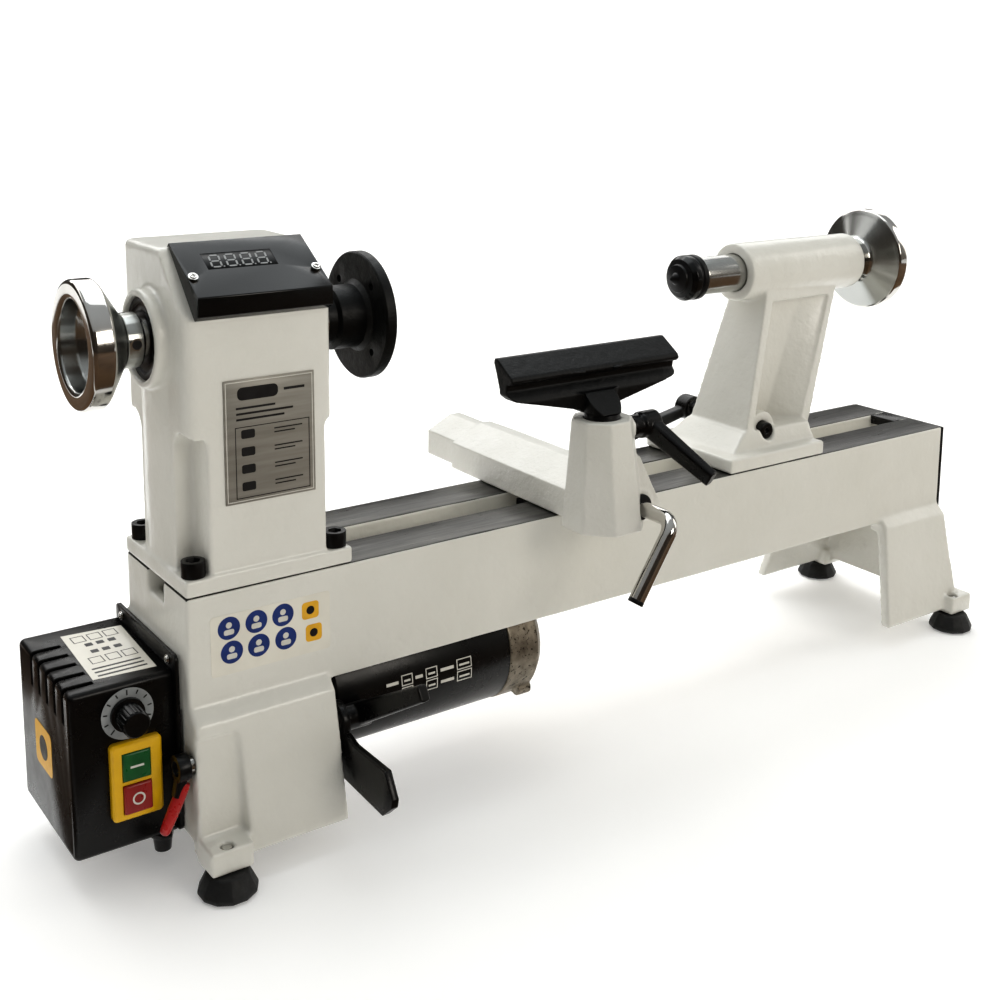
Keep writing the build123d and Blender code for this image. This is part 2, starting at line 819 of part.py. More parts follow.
with BuildPart() as control_box_flange:
    block((at_x(box_right), at_x(flange_right)), (-42, 62), (at_z(-154), at_z(-38)))
    fillet(control_box_flange.edges().filter_by(Axis.X), 4)
    block(
        (at_x(box_right - 1), at_x(flange_right + 1)),
        (-26, 52),
        (at_z(-146), at_z(-58)),
        Mode.SUBTRACT,
    )
    for y, z in flange_screws:
        rod((at_x(box_right - 1), y, z), (at_x(flange_right + 1), y, z), 1.7, Mode.SUBTRACT)
finish_part(control_box_flange, "control_box_flange")

with BuildPart() as control_board:
    block((at_x(-10), at_x(-8.4)), (-26, 50), (at_z(-148), at_z(-60)))
    # Heat sink fins and two capacitors.
    block((at_x(-14), at_x(-10)), (12, 46), (at_z(-146), at_z(-104)))
    for i in range(6):
        y = 13 + 6 * i
        block((at_x(-34), at_x(-14)), (y, y + 1.6), (at_z(-146), at_z(-104)))
    for z in (-96, -72):
        rod((at_x(-10), 38, at_z(z)), (at_x(-40), 38, at_z(z)), 9)
    # Stand-off that holds the board to the flange.
    for y, z in ((-23, -145), (-23, -63), (47.5, -145), (47.5, -63)):
        rod((at_x(-8.4), y, at_z(z)), (at_x(-6), y, at_z(z)), 2.4)
    # The frame that carries the stand-offs.
    block((at_x(-6), at_x(box_right)), (-28, 53.5), (at_z(-147.5), at_z(-142.5)))
    block((at_x(-6), at_x(box_right)), (-28, 53.5), (at_z(-65.5), at_z(-56.5)))
finish_part(control_board, "control_board")

with BuildPart() as dial_plate:
    rod((knob_x, box_front, knob_z), (knob_x, box_front - 0.8, knob_z), 16)
    rod((knob_x, box_front + 1, knob_z), (knob_x, box_front - 2, knob_z), 4, Mode.SUBTRACT)
finish_part(dial_plate, "dial_plate")

with BuildPart() as speed_control:
    # The potentiometer stays put inside the front wall.
    rod((knob_x, box_front + box_wall, knob_z), (knob_x, box_front + 13, knob_z), 9)
    rod((knob_x, box_front - 0.6, knob_z), (knob_x, box_front + box_wall, knob_z), 3.9)
    rod((knob_x, box_front - 2, knob_z), (knob_x, box_front + 9, knob_z), 2.6, Mode.SUBTRACT)
finish_part(speed_control, "speed_control")

with BuildPart() as speed_knob:
    rod((knob_x, box_front - 1.1, knob_z), (knob_x, box_front - 4, knob_z), 10.5)
    rod((knob_x, box_front - 4, knob_z), (knob_x, box_front - 19, knob_z), 8.4)
    chamfer(speed_knob.faces().sort_by(Axis.Y)[0].edges(), 1)
    for i in range(18):
        angle = radians(20 * i)
        x = knob_x + 8.7 * cos(angle)
        z = knob_z + 8.7 * sin(angle)
        rod((x, box_front - 4.5, z), (x, box_front - 20, z), 0.7, Mode.SUBTRACT)
    rod((knob_x, box_front - 1.1, knob_z), (knob_x, box_front + 8, knob_z), 2.55)
finish_part(speed_knob, "speed_knob")

with BuildPart() as switch_frame:
    block(switch_xs, (box_front - 5.2, box_front), switch_zs)
    fillet(switch_frame.edges().filter_by(Axis.Y), 3)
    chamfer(switch_frame.faces().sort_by(Axis.Y)[0].edges(), 1.4)
    # Switch body behind the frame.
    block(
        (switch_xs[0] + 3.3, switch_xs[1] - 3.3),
        (box_front, box_front + 26),
        (switch_zs[0] + 3.3, switch_zs[1] - 3.3),
    )
    for zs in (start_zs, stop_zs):
        block(
            (button_xs[0] - clear, button_xs[1] + clear),
            (box_front - 6, box_front + 14),
            (zs[0] - clear, zs[1] + clear),
            Mode.SUBTRACT,
        )
finish_part(switch_frame, "switch_frame")


with BuildPart() as start_button:
    block(button_xs, (box_front - 6.4, box_front + 8), start_zs)
    fillet(start_button.faces().sort_by(Axis.Y)[0].edges(), 1.2)
finish_part(start_button, "start_button")

with BuildPart() as stop_button:
    block(button_xs, (box_front - 7.4, box_front + 8), stop_zs)
    fillet(stop_button.faces().sort_by(Axis.Y)[0].edges(), 1.2)
finish_part(stop_button, "stop_button")

with BuildPart() as cable_gland:
    hexagon((at_x(-12), -30, at_z(box_bottom - 3.5)), (at_x(-12), -30, at_z(box_bottom)), 13)
    with Locations((at_x(-12), -30, at_z(box_bottom - 3.5))):
        Cone(5.2, 6.2, 9, align=(Align.CENTER, Align.CENTER, Align.MAX))
    rod((at_x(-12), -30, at_z(box_bottom)), (at_x(-12), -30, at_z(box_bottom + 6)), 4.4)
    rod((at_x(-12), -30, at_z(box_bottom - 14)), (at_x(-12), -30, at_z(box_bottom + 7)), 2.7, Mode.SUBTRACT)
finish_part(cable_gland, "cable_gland")

with BuildPart() as cover_screws:
    for y in (-38, 38):
        cross_screw((bed_right + 4, y, at_z(-62)), (1, 0, 0), 3.6, 2.2, 2.0, 12)
    for point in screw_points:
        cross_screw(point, face_out, 3.1, 2.0, 1.5, 6)
    for y, z in flange_screws:
        cross_screw((at_x(box_right), y, z), (-1, 0, 0), 3.0, 2.0, 1.6, 3.5)
finish_part(cover_screws, "cover_screws")

# ---- belt access door ---------------------------------------------------
hinge_x = at_x(88)
hinge_y = body_half + 4.5
knob_z = (door_low + door_high) / 2
with BuildPart() as belt_door:
    block(
        (door_left - 6, door_right + 2),
        (body_half + 0.4, body_half + 3.4),
        (door_low - 6, door_high + 6),
    )
    fillet(belt_door.edges().filter_by(Axis.Y).group_by(Axis.X)[0], 5)
    for z0 in (door_low + 6, door_high - 26):
        rod((hinge_x, hinge_y, z0), (hinge_x, hinge_y, z0 + 20), 3.2)
        block((door_right, hinge_x), (body_half + 1.6, body_half + 3.4), (z0, z0 + 20))
        rod((hinge_x, hinge_y, z0 - 1), (hinge_x, hinge_y, z0 + 21), 1.5 + running, Mode.SUBTRACT)
    # Knob near the free edge.
    rod((door_left + 2, body_half + 3, knob_z), (door_left + 2, body_half + 13, knob_z), 7)
    chamfer(belt_door.faces().sort_by(Axis.Y)[-1].edges(), 1.2)
finish_part(belt_door, "belt_door")

with BuildPart() as door_hinge:
    # Knuckles and pins screwed to the casting.
    for z0 in (door_low + 6, door_high - 26):
        rod((hinge_x, hinge_y, z0 - 6), (hinge_x, hinge_y, z0 + 26), 1.5)
        for z1 in (z0 - 6, z0 + 20.3):
            rod((hinge_x, hinge_y, z1), (hinge_x, hinge_y, z1 + 5.7), 3.2)
            block((hinge_x, hinge_x + 7), (body_half, body_half + 2), (z1, z1 + 5.7))
            block((hinge_x, hinge_x + 3), (body_half, hinge_y), (z1, z1 + 5.7))
finish_part(door_hinge, "door_hinge")

# ---- tailstock ----------------------------------------------------------
clamp_z = at_z(24)
clamp_x = at_x(512)
tongue_half = slot_half - 0.3
barrel_left = at_x(500)
barrel_right = at_x(636)
key_x = at_x(560)
key_r = 2.4
lock_x = at_x(548)


def column_corners(left, right, left_half, right_half):
    """Plan corners of the tailstock column at one height."""
    return [
        (at_x(left), -left_half),
        (at_x(right), -right_half),
        (at_x(right), right_half),
        (at_x(left), left_half),
    ]


def pocket_corners(left, right, left_half, right_half, side):
    """Plan corners of the hollow in one side of the column."""
    web = 7.0 * side
    outer = (left_half + 8) * side
    return [
        (at_x(left + 11), outer),
        (at_x(left + 11), web),
        (at_x(left + (right - left) * 0.62), web),
        (at_x(right - 7), (right_half - 1) * side),
        (at_x(right - 7), outer),
    ]


with BuildPart() as tailstock_casting:
    block(
        (at_x(tail_base_left), at_x(tail_base_right)),
        (-bed_half, bed_half),
        (bed_top + slide_gap, at_z(12)),
    )
    fillet(tailstock_casting.faces().sort_by(Axis.Z)[-1].edges(), 1.5)
    # Column, leaning towards the handwheel.
    lofted(
        (at_z(12), column_corners(485, 564, 35, 30)),
        (at_z(142), column_corners(521, 612, 20, 15)),
    )
    # Foot flare between column and base.
    tapered_box(
        (at_x(466), at_x(563), -41, 41, at_z(10)),
        (at_x(486), at_x(562), -34, 34, at_z(26)),
    )
    # Side pockets leave a web and two flanges.
    for side in (-1, 1):
        lofted(
            (at_z(26), pocket_corners(487, 566, 35, 30, side)),
            (at_z(128), pocket_corners(516, 606, 20, 15, side)),
            Mode.SUBTRACT,
        )
        # Pad around the clamp shaft.
        rod((clamp_x, side * 6, clamp_z), (clamp_x, side * 28, clamp_z), 15)
        block(
            (clamp_x - 15, clamp_x + 15),
            sorted((side * 6, side * 28)),
            (at_z(8), clamp_z),
        )
    # Barrel.
    rod((barrel_left, 0, spindle_z), (barrel_right, 0, spindle_z), barrel_r)
    chamfer(tailstock_casting.faces().sort_by(Axis.X)[-1].edges().sort_by(Axis.Z)[-1], 1)
    # Bore for the quill, then a smaller one for the feed screw's collar.
    rod((barrel_left - 1, 0, spindle_z), (at_x(624), 0, spindle_z), quill_r + running, Mode.SUBTRACT)
    rod((at_x(620), 0, spindle_z), (barrel_right + 1, 0, spindle_z), 8 + running, Mode.SUBTRACT)
    # Guide tongue in the bed slot.
    block(
        (at_x(tail_base_left + 4), at_x(tail_base_left + 36)),
        (-tongue_half, tongue_half),
        (at_z(-8), at_z(2)),
    )
    # Cross hole for the eccentric shaft and an upright hole for the bolt.
    rod((clamp_x, -60, clamp_z), (clamp_x, 60, clamp_z), 7 + running, Mode.SUBTRACT)
    block((clamp_x - 9, clamp_x + 9), (-9, 9), (at_z(-1), clamp_z + 13), Mode.SUBTRACT)
    # Hole for the key screw under the quill.
    rod(
        (key_x, 0, spindle_z - 12),
        (key_x, 0, spindle_z - barrel_r + 0.5),
        key_r + running,
        Mode.SUBTRACT,
    )
    # Tapped hole for the quill lock, at the back of the barrel.
    rod((lock_x, 12, spindle_z), (lock_x, 40, spindle_z), 4 + running, Mode.SUBTRACT)
finish_part(tailstock_casting, "tailstock_casting")

with BuildPart() as tailstock_key:
    # Pointed screw that keeps the quill from turning.
    rod((key_x, 0, spindle_z - quill_r + 2.4), (key_x, 0, spindle_z - barrel_r + 0.5), key_r)
finish_part(tailstock_key, "tailstock_key")

with BuildPart() as tailstock_clamp_bolt:
    # Eye around the eccentric, shank through the slot, nut below the plate.
    rod((clamp_x, -6, clamp_z), (clamp_x, 6, clamp_z), 8.6)
    rod((clamp_x, 0, clamp_z - 4), (clamp_x, 0, at_z(-33)), 5)
    rod((clamp_x, -7, clamp_z), (clamp_x, 7, clamp_z), 5.4, Mode.SUBTRACT)
    hexagon((clamp_x, 0, at_z(-31)), (clamp_x, 0, at_z(-24.2)), 16)
finish_part(tailstock_clamp_bolt, "tailstock_clamp_bolt")

with BuildPart() as tailstock_clamp_plate:
    block((clamp_x - 32, clamp_x + 32), (-28, 28), (at_z(-24.2), at_z(-way_thickness - 0.4)))
    fillet(tailstock_clamp_plate.edges().filter_by(Axis.Z), 4)
    rod((clamp_x, 0, at_z(-30)), (clamp_x, 0, at_z(-10)), 5, Mode.SUBTRACT)
finish_part(tailstock_clamp_plate, "tailstock_clamp_plate")

with BuildPart() as tailstock_clamp_lever:
    # Cross shaft with an eccentric middle, and a handle at the back.
    rod((clamp_x, -34, clamp_z), (clamp_x, -6.5, clamp_z), 7)
    rod((clamp_x, 6.5, clamp_z), (clamp_x, 60, clamp_z), 7)
    rod((clamp_x + 0.8, -7, clamp_z), (clamp_x + 0.8, 7, clamp_z), 4.2)
    rod((clamp_x, -34.5, clamp_z), (clamp_x, -31.5, clamp_z), 2.2, Mode.SUBTRACT)
    rod((clamp_x, 53, clamp_z), (clamp_x, 67, clamp_z), 11)
    tapered_bar(
        (clamp_x - 4, 60, clamp_z - 1),
        (clamp_x - 84, 72, clamp_z - 24),
        (11, 9),
        (13, 12),
        (0, 1, 0),
    )
finish_part(tailstock_clamp_lever, "tailstock_clamp_lever")

quill_left = at_x(458.6)
quill_right = at_x(578)
screw_r = 6.0
with BuildPart() as quill:
    rod((quill_left, 0, spindle_z), (quill_right, 0, spindle_z), quill_r)
    chamfer(quill.faces().sort_by(Axis.X)[0].edges(), 0.8)
    # Taper seat for the centre, and the tapped bore behind it.
    rod((quill_left - 1, 0, spindle_z), (quill_left + 62, 0, spindle_z), 8.8, Mode.SUBTRACT)
    rod((quill_left + 60, 0, spindle_z), (quill_right + 1, 0, spindle_z), screw_r + running, Mode.SUBTRACT)
    # Keyway along the bottom.
    block(
        (at_x(505), quill_right + 1),
        (-2.7, 2.7),
        (spindle_z - quill_r - 1, spindle_z - quill_r + 3.2),
        Mode.SUBTRACT,
    )
finish_part(quill, "quill")

centre_shank_left = quill_left - 0.6
with BuildPart() as live_centre_shank:
    rod((centre_shank_left + 0.6, 0, spindle_z), (quill_left + 55, 0, spindle_z), 8.7)
    rod((centre_shank_left - 9, 0, spindle_z), (centre_shank_left + 0.6, 0, spindle_z), 5)
finish_part(live_centre_shank, "live_centre_shank")

with BuildPart() as live_centre_head:
    add(
        turned(
            [
                (at_x(430), 0),
                (at_x(436.5), 5),
                (at_x(437.5), 11),
                (at_x(439.5), 11.5),
                (at_x(440.5), 15.5),
                (at_x(444), 18.3),
                (at_x(449), 18.3),
                (at_x(449.6), 17.2),
                (at_x(451.4), 17.2),
                (at_x(452), 18.3),
                (at_x(456.2), 18.3),
                (at_x(457.6), 16.8),
                (at_x(457.6), 5 + running),
                (at_x(448.8), 5 + running),
                (at_x(448.8), 0),
            ]
        )
    )
finish_part(live_centre_head, "live_centre_head")

with BuildPart() as feed_screw:
    rod((at_x(553), 0, spindle_z), (at_x(620), 0, spindle_z), screw_r)
    rod((at_x(620), 0, spindle_z), (at_x(655), 0, spindle_z), 8)
finish_part(feed_screw, "feed_screw")

with BuildPart() as tail_handwheel:
    add(
        turned(
            [
                (barrel_right + 0.5, 8),
                (barrel_right + 0.5, 20),
                (at_x(641), 20),
                (at_x(641.6), 18.8),
                (at_x(647.5), 18.8),
                (at_x(649), 20.5),
                (at_x(656), 38.5),
                (at_x(657.5), 42.8),
                (at_x(658.6), 43.6),
                (at_x(666.4), 43.6),
                (at_x(667.6), 42),
                (at_x(667.6), 33),
                (at_x(664), 29.5),
                (at_x(656), 27),
                (at_x(653), 13),
                (at_x(657), 11),
                (at_x(657), 8),
            ]
        )
    )
finish_part(tail_handwheel, "tail_handwheel")

with BuildPart() as quill_lock_lever:
    rod((lock_x, quill_r + 0.25, spindle_z), (lock_x, barrel_r + 2, spindle_z), 4)
    rod((lock_x, barrel_r + 0.6, spindle_z), (lock_x, barrel_r + 16, spindle_z), 8)
    tapered_bar(
        (lock_x + 3, barrel_r + 11, spindle_z - 3),
        (lock_x + 34, barrel_r + 24, spindle_z - 44),
        (10, 13),
        (7, 10),
        (0, 1, 0),
    )
finish_part(quill_lock_lever, "quill_lock_lever")

# ---- banjo: the slide that carries the tool rest ------------------------
post_top_z = at_z(79)
arm_gap = bed_top + slide_gap
arm_front = -60.0
arm_back = 88.0
nose_back = 133.0
channel_half = 10.0
eye_z = at_z(cam_z)

arm = (arm_back, arm_front, 32.0, 5.0, 34.0, 22.0)
nose = (nose_back, arm_back - 2, 26.0, 4.5, 31.5, 21.0)

with BuildPart() as banjo_casting:
    # Arm across the bed, then the narrower nose, both with a roof-shaped top.
    for back, front, half, crest, height, shoulder in (arm, nose):
        with BuildSketch(Plane.XZ.offset(-back)):
            with BuildLine():
                Polyline(
                    (at_x(banjo_x - half), arm_gap),
                    (at_x(banjo_x - half), at_z(shoulder)),
                    (at_x(banjo_x - crest), at_z(height)),
                    (at_x(banjo_x + crest), at_z(height)),
                    (at_x(banjo_x + half), at_z(shoulder)),
                    (at_x(banjo_x + half), arm_gap),
                    close=True,
                )
            make_face()
        extrude(amount=back - front)
    # Eight-sided post, wider at the foot.
    with BuildSketch(Plane.XY.offset(arm_gap)):
        with Locations((at_x(rest_x + 4), rest_y + 1)):
            RegularPolygon(28.5, 8, major_radius=False, rotation=22.5)
    with BuildSketch(Plane.XY.offset(post_top_z)):
        with Locations((at_x(rest_x), rest_y)):
            RegularPolygon(20.5, 8, major_radius=False, rotation=22.5)
    loft()
    # Foot that swells to the right, round the eccentric rod.
    tapered_box(
        (at_x(298), at_x(345), -98, -50, arm_gap),
        (at_x(298), at_x(318), -98, -60, at_z(50)),
    )
    rod((at_x(cam_x), -99, at_z(cam_z + 0.2)), (at_x(cam_x), -60, at_z(cam_z + 0.2)), 12.8)
    # Boss for the rest's lock lever.
    rod((at_x(300), rest_y, at_z(68)), (at_x(318), rest_y, at_z(68)), 9)
    # Bore for the stem of the tool rest.
    rod(
        (at_x(rest_x), rest_y, at_z(8)),
        (at_x(rest_x), rest_y, at_z(90)),
        rest_stem_r + running,
        Mode.SUBTRACT,
    )
    # Bore for the lock screw.
    rod((at_x(300), rest_y, at_z(68)), (at_x(320), rest_y, at_z(68)), 4 + running, Mode.SUBTRACT)
    # Bore for the eccentric rod, and the channel its eye slides in.
    rod((at_x(cam_x), -110, at_z(cam_z)), (at_x(cam_x), 110, at_z(cam_z)), 8 + clear, Mode.SUBTRACT)
    block(
        (at_x(cam_x - channel_half), at_x(cam_x + channel_half)),
        (-44, 80),
        (bed_top - 1, at_z(25)),
        Mode.SUBTRACT,
    )
finish_part(banjo_casting, "banjo_casting")

with BuildPart() as banjo_bushings:
    for y0, y1 in ((-100.5, -62), (86, 108)):
        rod((at_x(cam_x), y0, eye_z), (at_x(cam_x), y1, eye_z), 8 + clear)
        rod(
            (at_x(cam_x), y0 - 1, eye_z),
            (at_x(cam_x), y1 + 1, eye_z),
            5.5 + running,
            Mode.SUBTRACT,
        )
finish_part(banjo_bushings, "banjo_bushings")

with BuildPart() as banjo_clamp_bolt:
    rod((at_x(cam_x), -5, eye_z), (at_x(cam_x), 5, eye_z), 9.0)
    rod((at_x(cam_x), 0, eye_z - 6), (at_x(cam_x), 0, at_z(-34)), 5)
    rod((at_x(cam_x), -6, eye_z), (at_x(cam_x), 6, eye_z), 6.2, Mode.SUBTRACT)
    hexagon((at_x(cam_x), 0, at_z(-31)), (at_x(cam_x), 0, at_z(-24.4)), 16)
finish_part(banjo_clamp_bolt, "banjo_clamp_bolt")

with BuildPart() as banjo_clamp_plate:
    block((at_x(cam_x - 30), at_x(cam_x + 30)), (-28, 28), (at_z(-24), at_z(-way_thickness - 0.4)))
    fillet(banjo_clamp_plate.edges().filter_by(Axis.Z), 4)
    block(
        (at_x(cam_x - 26), at_x(cam_x + 26)),
        (-slot_half + 0.4, slot_half - 0.4),
        (at_z(-15), at_z(-6)),
    )
    rod((at_x(cam_x), 0, at_z(-30)), (at_x(cam_x), 0, at_z(-5)), 5 + running, Mode.SUBTRACT)
finish_part(banjo_clamp_plate, "banjo_clamp_plate")

crank_y = -135.5
crank_r = 5.5
arm_bottom = Vector(at_x(285), crank_y, at_z(-36))
bend = Vector(at_x(cam_x), crank_y, at_z(cam_z))
arm_way = (arm_bottom - bend).normalized()
elbow = 11.0
arm_top = bend + arm_way * elbow
shaft_end = Vector(at_x(cam_x), crank_y + elbow, at_z(cam_z))
elbow_centre = shaft_end + arm_way * elbow
with BuildPart() as banjo_crank:
    rod((at_x(cam_x), 104, at_z(cam_z)), shaft_end, crank_r)
    rod(arm_top, arm_bottom, crank_r)
    with BuildSketch(Plane(origin=shaft_end, x_dir=arm_way, z_dir=(0, -1, 0))):
        Circle(crank_r)
    revolve(axis=Axis(elbow_centre, arm_way.cross(Vector(0, 1, 0))), revolution_arc=90)
finish_part(banjo_crank, "banjo_crank")

with BuildPart() as crank_end_ring:
    rod(arm_bottom, arm_bottom + arm_way * 3.0, crank_r)
    hexagon(arm_bottom + arm_way * 0.5, arm_bottom + arm_way * 4, 4.5, Mode.SUBTRACT)
finish_part(crank_end_ring, "crank_end_ring")

with BuildPart() as rest_lock_lever:
    rod((at_x(rest_x + rest_stem_r + 0.4), rest_y, at_z(68)), (at_x(320), rest_y, at_z(68)), 4)
    rod((at_x(318.3), rest_y, at_z(68)), (at_x(327), rest_y, at_z(68)), 8.2)
    rod((at_x(327), rest_y, at_z(68)), (at_x(342), rest_y, at_z(68)), 9.6)
    tapered_bar(
        (at_x(336), rest_y - 3, at_z(66)),
        (at_x(352), -134.5, at_z(36.5)),
        (12, 15),
        (8, 12),
        (1, 0, 0),
    )
finish_part(rest_lock_lever, "rest_lock_lever")

rest_left = 219.0
rest_right = 368.0
rest_spigot_r = 6.0
with BuildPart() as tool_rest:
    with BuildSketch(Plane.YZ.offset(at_x(rest_left))):
        with BuildLine():
            Polyline(
                (-60, at_z(125)),
                (-63, at_z(125)),
                (-79.5, at_z(114.5)),
                (-81, at_z(111.5)),
                (-78.5, at_z(109)),
                (-75, at_z(109)),
                (-74, at_z(104)),
                (-78, at_z(99.5)),
                (-80, at_z(96)),
                (-80, at_z(80)),
                (-67, at_z(80)),
                (-65.5, at_z(104)),
                (-62, at_z(114)),
                (-58.6, at_z(122)),
                close=True,
            )
        make_face()
    extrude(amount=rest_right - rest_left)
    with BuildSketch(Plane.XZ):
        with BuildLine():
            Polyline(
                (at_x(rest_left), at_z(126)),
                (at_x(rest_left), at_z(101)),
                (at_x(rest_left + 5), at_z(97)),
                (at_x(rest_x - 14), at_z(84.5)),
                (at_x(rest_x + 14), at_z(84.5)),
                (at_x(rest_right - 3), at_z(98)),
                (at_x(rest_right), at_z(101)),
                (at_x(rest_right), at_z(126)),
                close=True,
            )
        make_face()
    extrude(amount=120, mode=Mode.INTERSECT)
    # Foot of the blade, where it sits on the stem.
    tapered_box(
        (at_x(rest_x - 13), at_x(rest_x + 13), -97, -66, at_z(82.5)),
        (at_x(rest_x - 18), at_x(rest_x + 18), -82, -66, at_z(97)),
    )
    # Socket for the stem's spigot.
    rod(
        (at_x(rest_x), rest_y, at_z(80)),
        (at_x(rest_x), rest_y, at_z(87.6)),
        rest_spigot_r + running,
        Mode.SUBTRACT,
    )
finish_part(tool_rest, "tool_rest")

with BuildPart() as rest_stem:
    rod((at_x(rest_x), rest_y, at_z(12)), (at_x(rest_x), rest_y, at_z(82.2)), rest_stem_r)
    rod((at_x(rest_x), rest_y, at_z(82)), (at_x(rest_x), rest_y, at_z(87.2)), rest_spigot_r)
    chamfer(rest_stem.faces().sort_by(Axis.Z)[0].edges(), 1.5)
finish_part(rest_stem, "rest_stem")
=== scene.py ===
import json
import math

import bmesh
import bpy
from mathutils import Matrix, Vector, noise

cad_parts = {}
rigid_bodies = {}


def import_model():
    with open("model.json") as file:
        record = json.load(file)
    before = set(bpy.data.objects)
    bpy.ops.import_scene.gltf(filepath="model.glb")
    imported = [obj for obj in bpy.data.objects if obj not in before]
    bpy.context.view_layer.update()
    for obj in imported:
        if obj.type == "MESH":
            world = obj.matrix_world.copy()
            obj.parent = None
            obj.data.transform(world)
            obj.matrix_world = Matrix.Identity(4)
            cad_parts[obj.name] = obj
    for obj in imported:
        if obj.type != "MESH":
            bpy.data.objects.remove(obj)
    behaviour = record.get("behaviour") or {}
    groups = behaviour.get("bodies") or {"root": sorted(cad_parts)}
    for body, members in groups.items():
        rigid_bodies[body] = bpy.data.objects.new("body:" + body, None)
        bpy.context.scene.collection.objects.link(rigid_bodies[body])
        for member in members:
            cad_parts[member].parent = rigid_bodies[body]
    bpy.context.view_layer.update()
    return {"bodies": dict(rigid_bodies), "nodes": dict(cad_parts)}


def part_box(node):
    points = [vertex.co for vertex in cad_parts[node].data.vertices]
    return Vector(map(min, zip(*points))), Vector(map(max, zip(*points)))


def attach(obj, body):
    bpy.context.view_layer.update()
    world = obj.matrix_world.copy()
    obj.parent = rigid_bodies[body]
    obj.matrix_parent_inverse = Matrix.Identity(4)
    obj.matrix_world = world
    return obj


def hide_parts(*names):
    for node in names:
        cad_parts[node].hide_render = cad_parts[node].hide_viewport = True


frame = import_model()

# ---- places ---------------------------------------------------------------
# Millimetres: x from the headstock end of the bed, z from the tops of the ways.
BED_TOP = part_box("headstock_casting")[0].z
BED_LENGTH = 0.720
BED_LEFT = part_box("bed_end_plate")[0].x - BED_LENGTH
SPINDLE = 152.5
X = Vector((1, 0, 0))
Y = Vector((0, 1, 0))
Z = Vector((0, 0, 1))


def at(x, y, z):
    """A place on the lathe, in metres, from these millimetres."""
    return Vector((BED_LEFT + x / 1000, y / 1000, BED_TOP + z / 1000))


# ---- materials ------------------------------------------------------------
def linear(rgb):
    """A screen colour in 0 to 255 as the linear colour that a shader takes."""
    out = []
    for value in rgb:
        share = value / 255
        out.append(share / 12.92 if share <= 0.04045 else ((share + 0.055) / 1.055) ** 2.4)
    return (*out, 1.0)


def finish(
    name,
    low,
    high,
    rough,
    metallic=0.0,
    grain=40.0,
    stretch=(1, 1, 1),
    bumps=(),
    coat=0.0,
    coat_rough=0.08,
    brushed=0.0,
    specular=0.5,
    spots=None,
):
    """A finish with an uneven colour, an uneven gloss and fine relief.

    Each bump is (scale, depth in mm). Spots are (scale, threshold, colour).
    """
    material = bpy.data.materials.new(name)
    material.use_nodes = True
    tree = material.node_tree
    shader = tree.nodes["Principled BSDF"]
    where = tree.nodes.new("ShaderNodeTexCoord")
    spread = tree.nodes.new("ShaderNodeMapping")
    spread.inputs["Scale"].default_value = stretch
    tree.links.new(where.outputs["Object"], spread.inputs["Vector"])

    def cloud(scale, detail=4.0, roughness=0.55):
        node = tree.nodes.new("ShaderNodeTexNoise")
        node.inputs["Scale"].default_value = scale
        node.inputs["Detail"].default_value = detail
        node.inputs["Roughness"].default_value = roughness
        tree.links.new(spread.outputs["Vector"], node.inputs["Vector"])
        return node

    tone = cloud(grain)
    ramp = tree.nodes.new("ShaderNodeValToRGB")
    ramp.color_ramp.elements[0].position = 0.32
    ramp.color_ramp.elements[0].color = linear(low)
    ramp.color_ramp.elements[1].position = 0.68
    ramp.color_ramp.elements[1].color = linear(high)
    tree.links.new(tone.outputs["Fac"], ramp.inputs["Fac"])
    colour = ramp.outputs["Color"]
    if spots:
        spot_scale, threshold, spot_rgb = spots
        speck = cloud(spot_scale, 2.0)
        mask = tree.nodes.new("ShaderNodeMapRange")
        mask.inputs["From Min"].default_value = threshold
        mask.inputs["From Max"].default_value = threshold + 0.06
        tree.links.new(speck.outputs["Fac"], mask.inputs["Value"])
        mix = tree.nodes.new("ShaderNodeMix")
        mix.data_type = "RGBA"
        mix.inputs["B"].default_value = linear(spot_rgb)
        tree.links.new(mask.outputs["Result"], mix.inputs["Factor"])
        tree.links.new(colour, mix.inputs["A"])
        colour = mix.outputs["Result"]
    tree.links.new(colour, shader.inputs["Base Color"])
    gloss = cloud(grain * 2.3)
    span = tree.nodes.new("ShaderNodeMapRange")
    span.inputs["From Min"].default_value = 0.3
    span.inputs["From Max"].default_value = 0.7
    span.inputs["To Min"].default_value = rough[0]
    span.inputs["To Max"].default_value = rough[1]
    tree.links.new(gloss.outputs["Fac"], span.inputs["Value"])
    tree.links.new(span.outputs["Result"], shader.inputs["Roughness"])
    last = None
    for scale, depth_mm in bumps:
        relief = cloud(scale, 3.0)
        bump = tree.nodes.new("ShaderNodeBump")
        bump.inputs["Strength"].default_value = 1.0
        bump.inputs["Distance"].default_value = depth_mm / 1000
        tree.links.new(relief.outputs["Fac"], bump.inputs["Height"])
        if last:
            tree.links.new(last.outputs["Normal"], bump.inputs["Normal"])
        last = bump
    if last:
        tree.links.new(last.outputs["Normal"], shader.inputs["Normal"])
    shader.inputs["Metallic"].default_value = metallic
    shader.inputs["Specular IOR Level"].default_value = specular
    shader.inputs["Coat Weight"].default_value = coat
    shader.inputs["Coat Roughness"].default_value = coat_rough
    if brushed:
        turning = tree.nodes.new("ShaderNodeTangent")
        turning.direction_type = "RADIAL"
        turning.axis = "X"
        tree.links.new(turning.outputs["Tangent"], shader.inputs["Tangent"])
        shader.inputs["Anisotropic"].default_value = brushed
        shader.inputs["Anisotropic Rotation"].default_value = 0.25
    return material


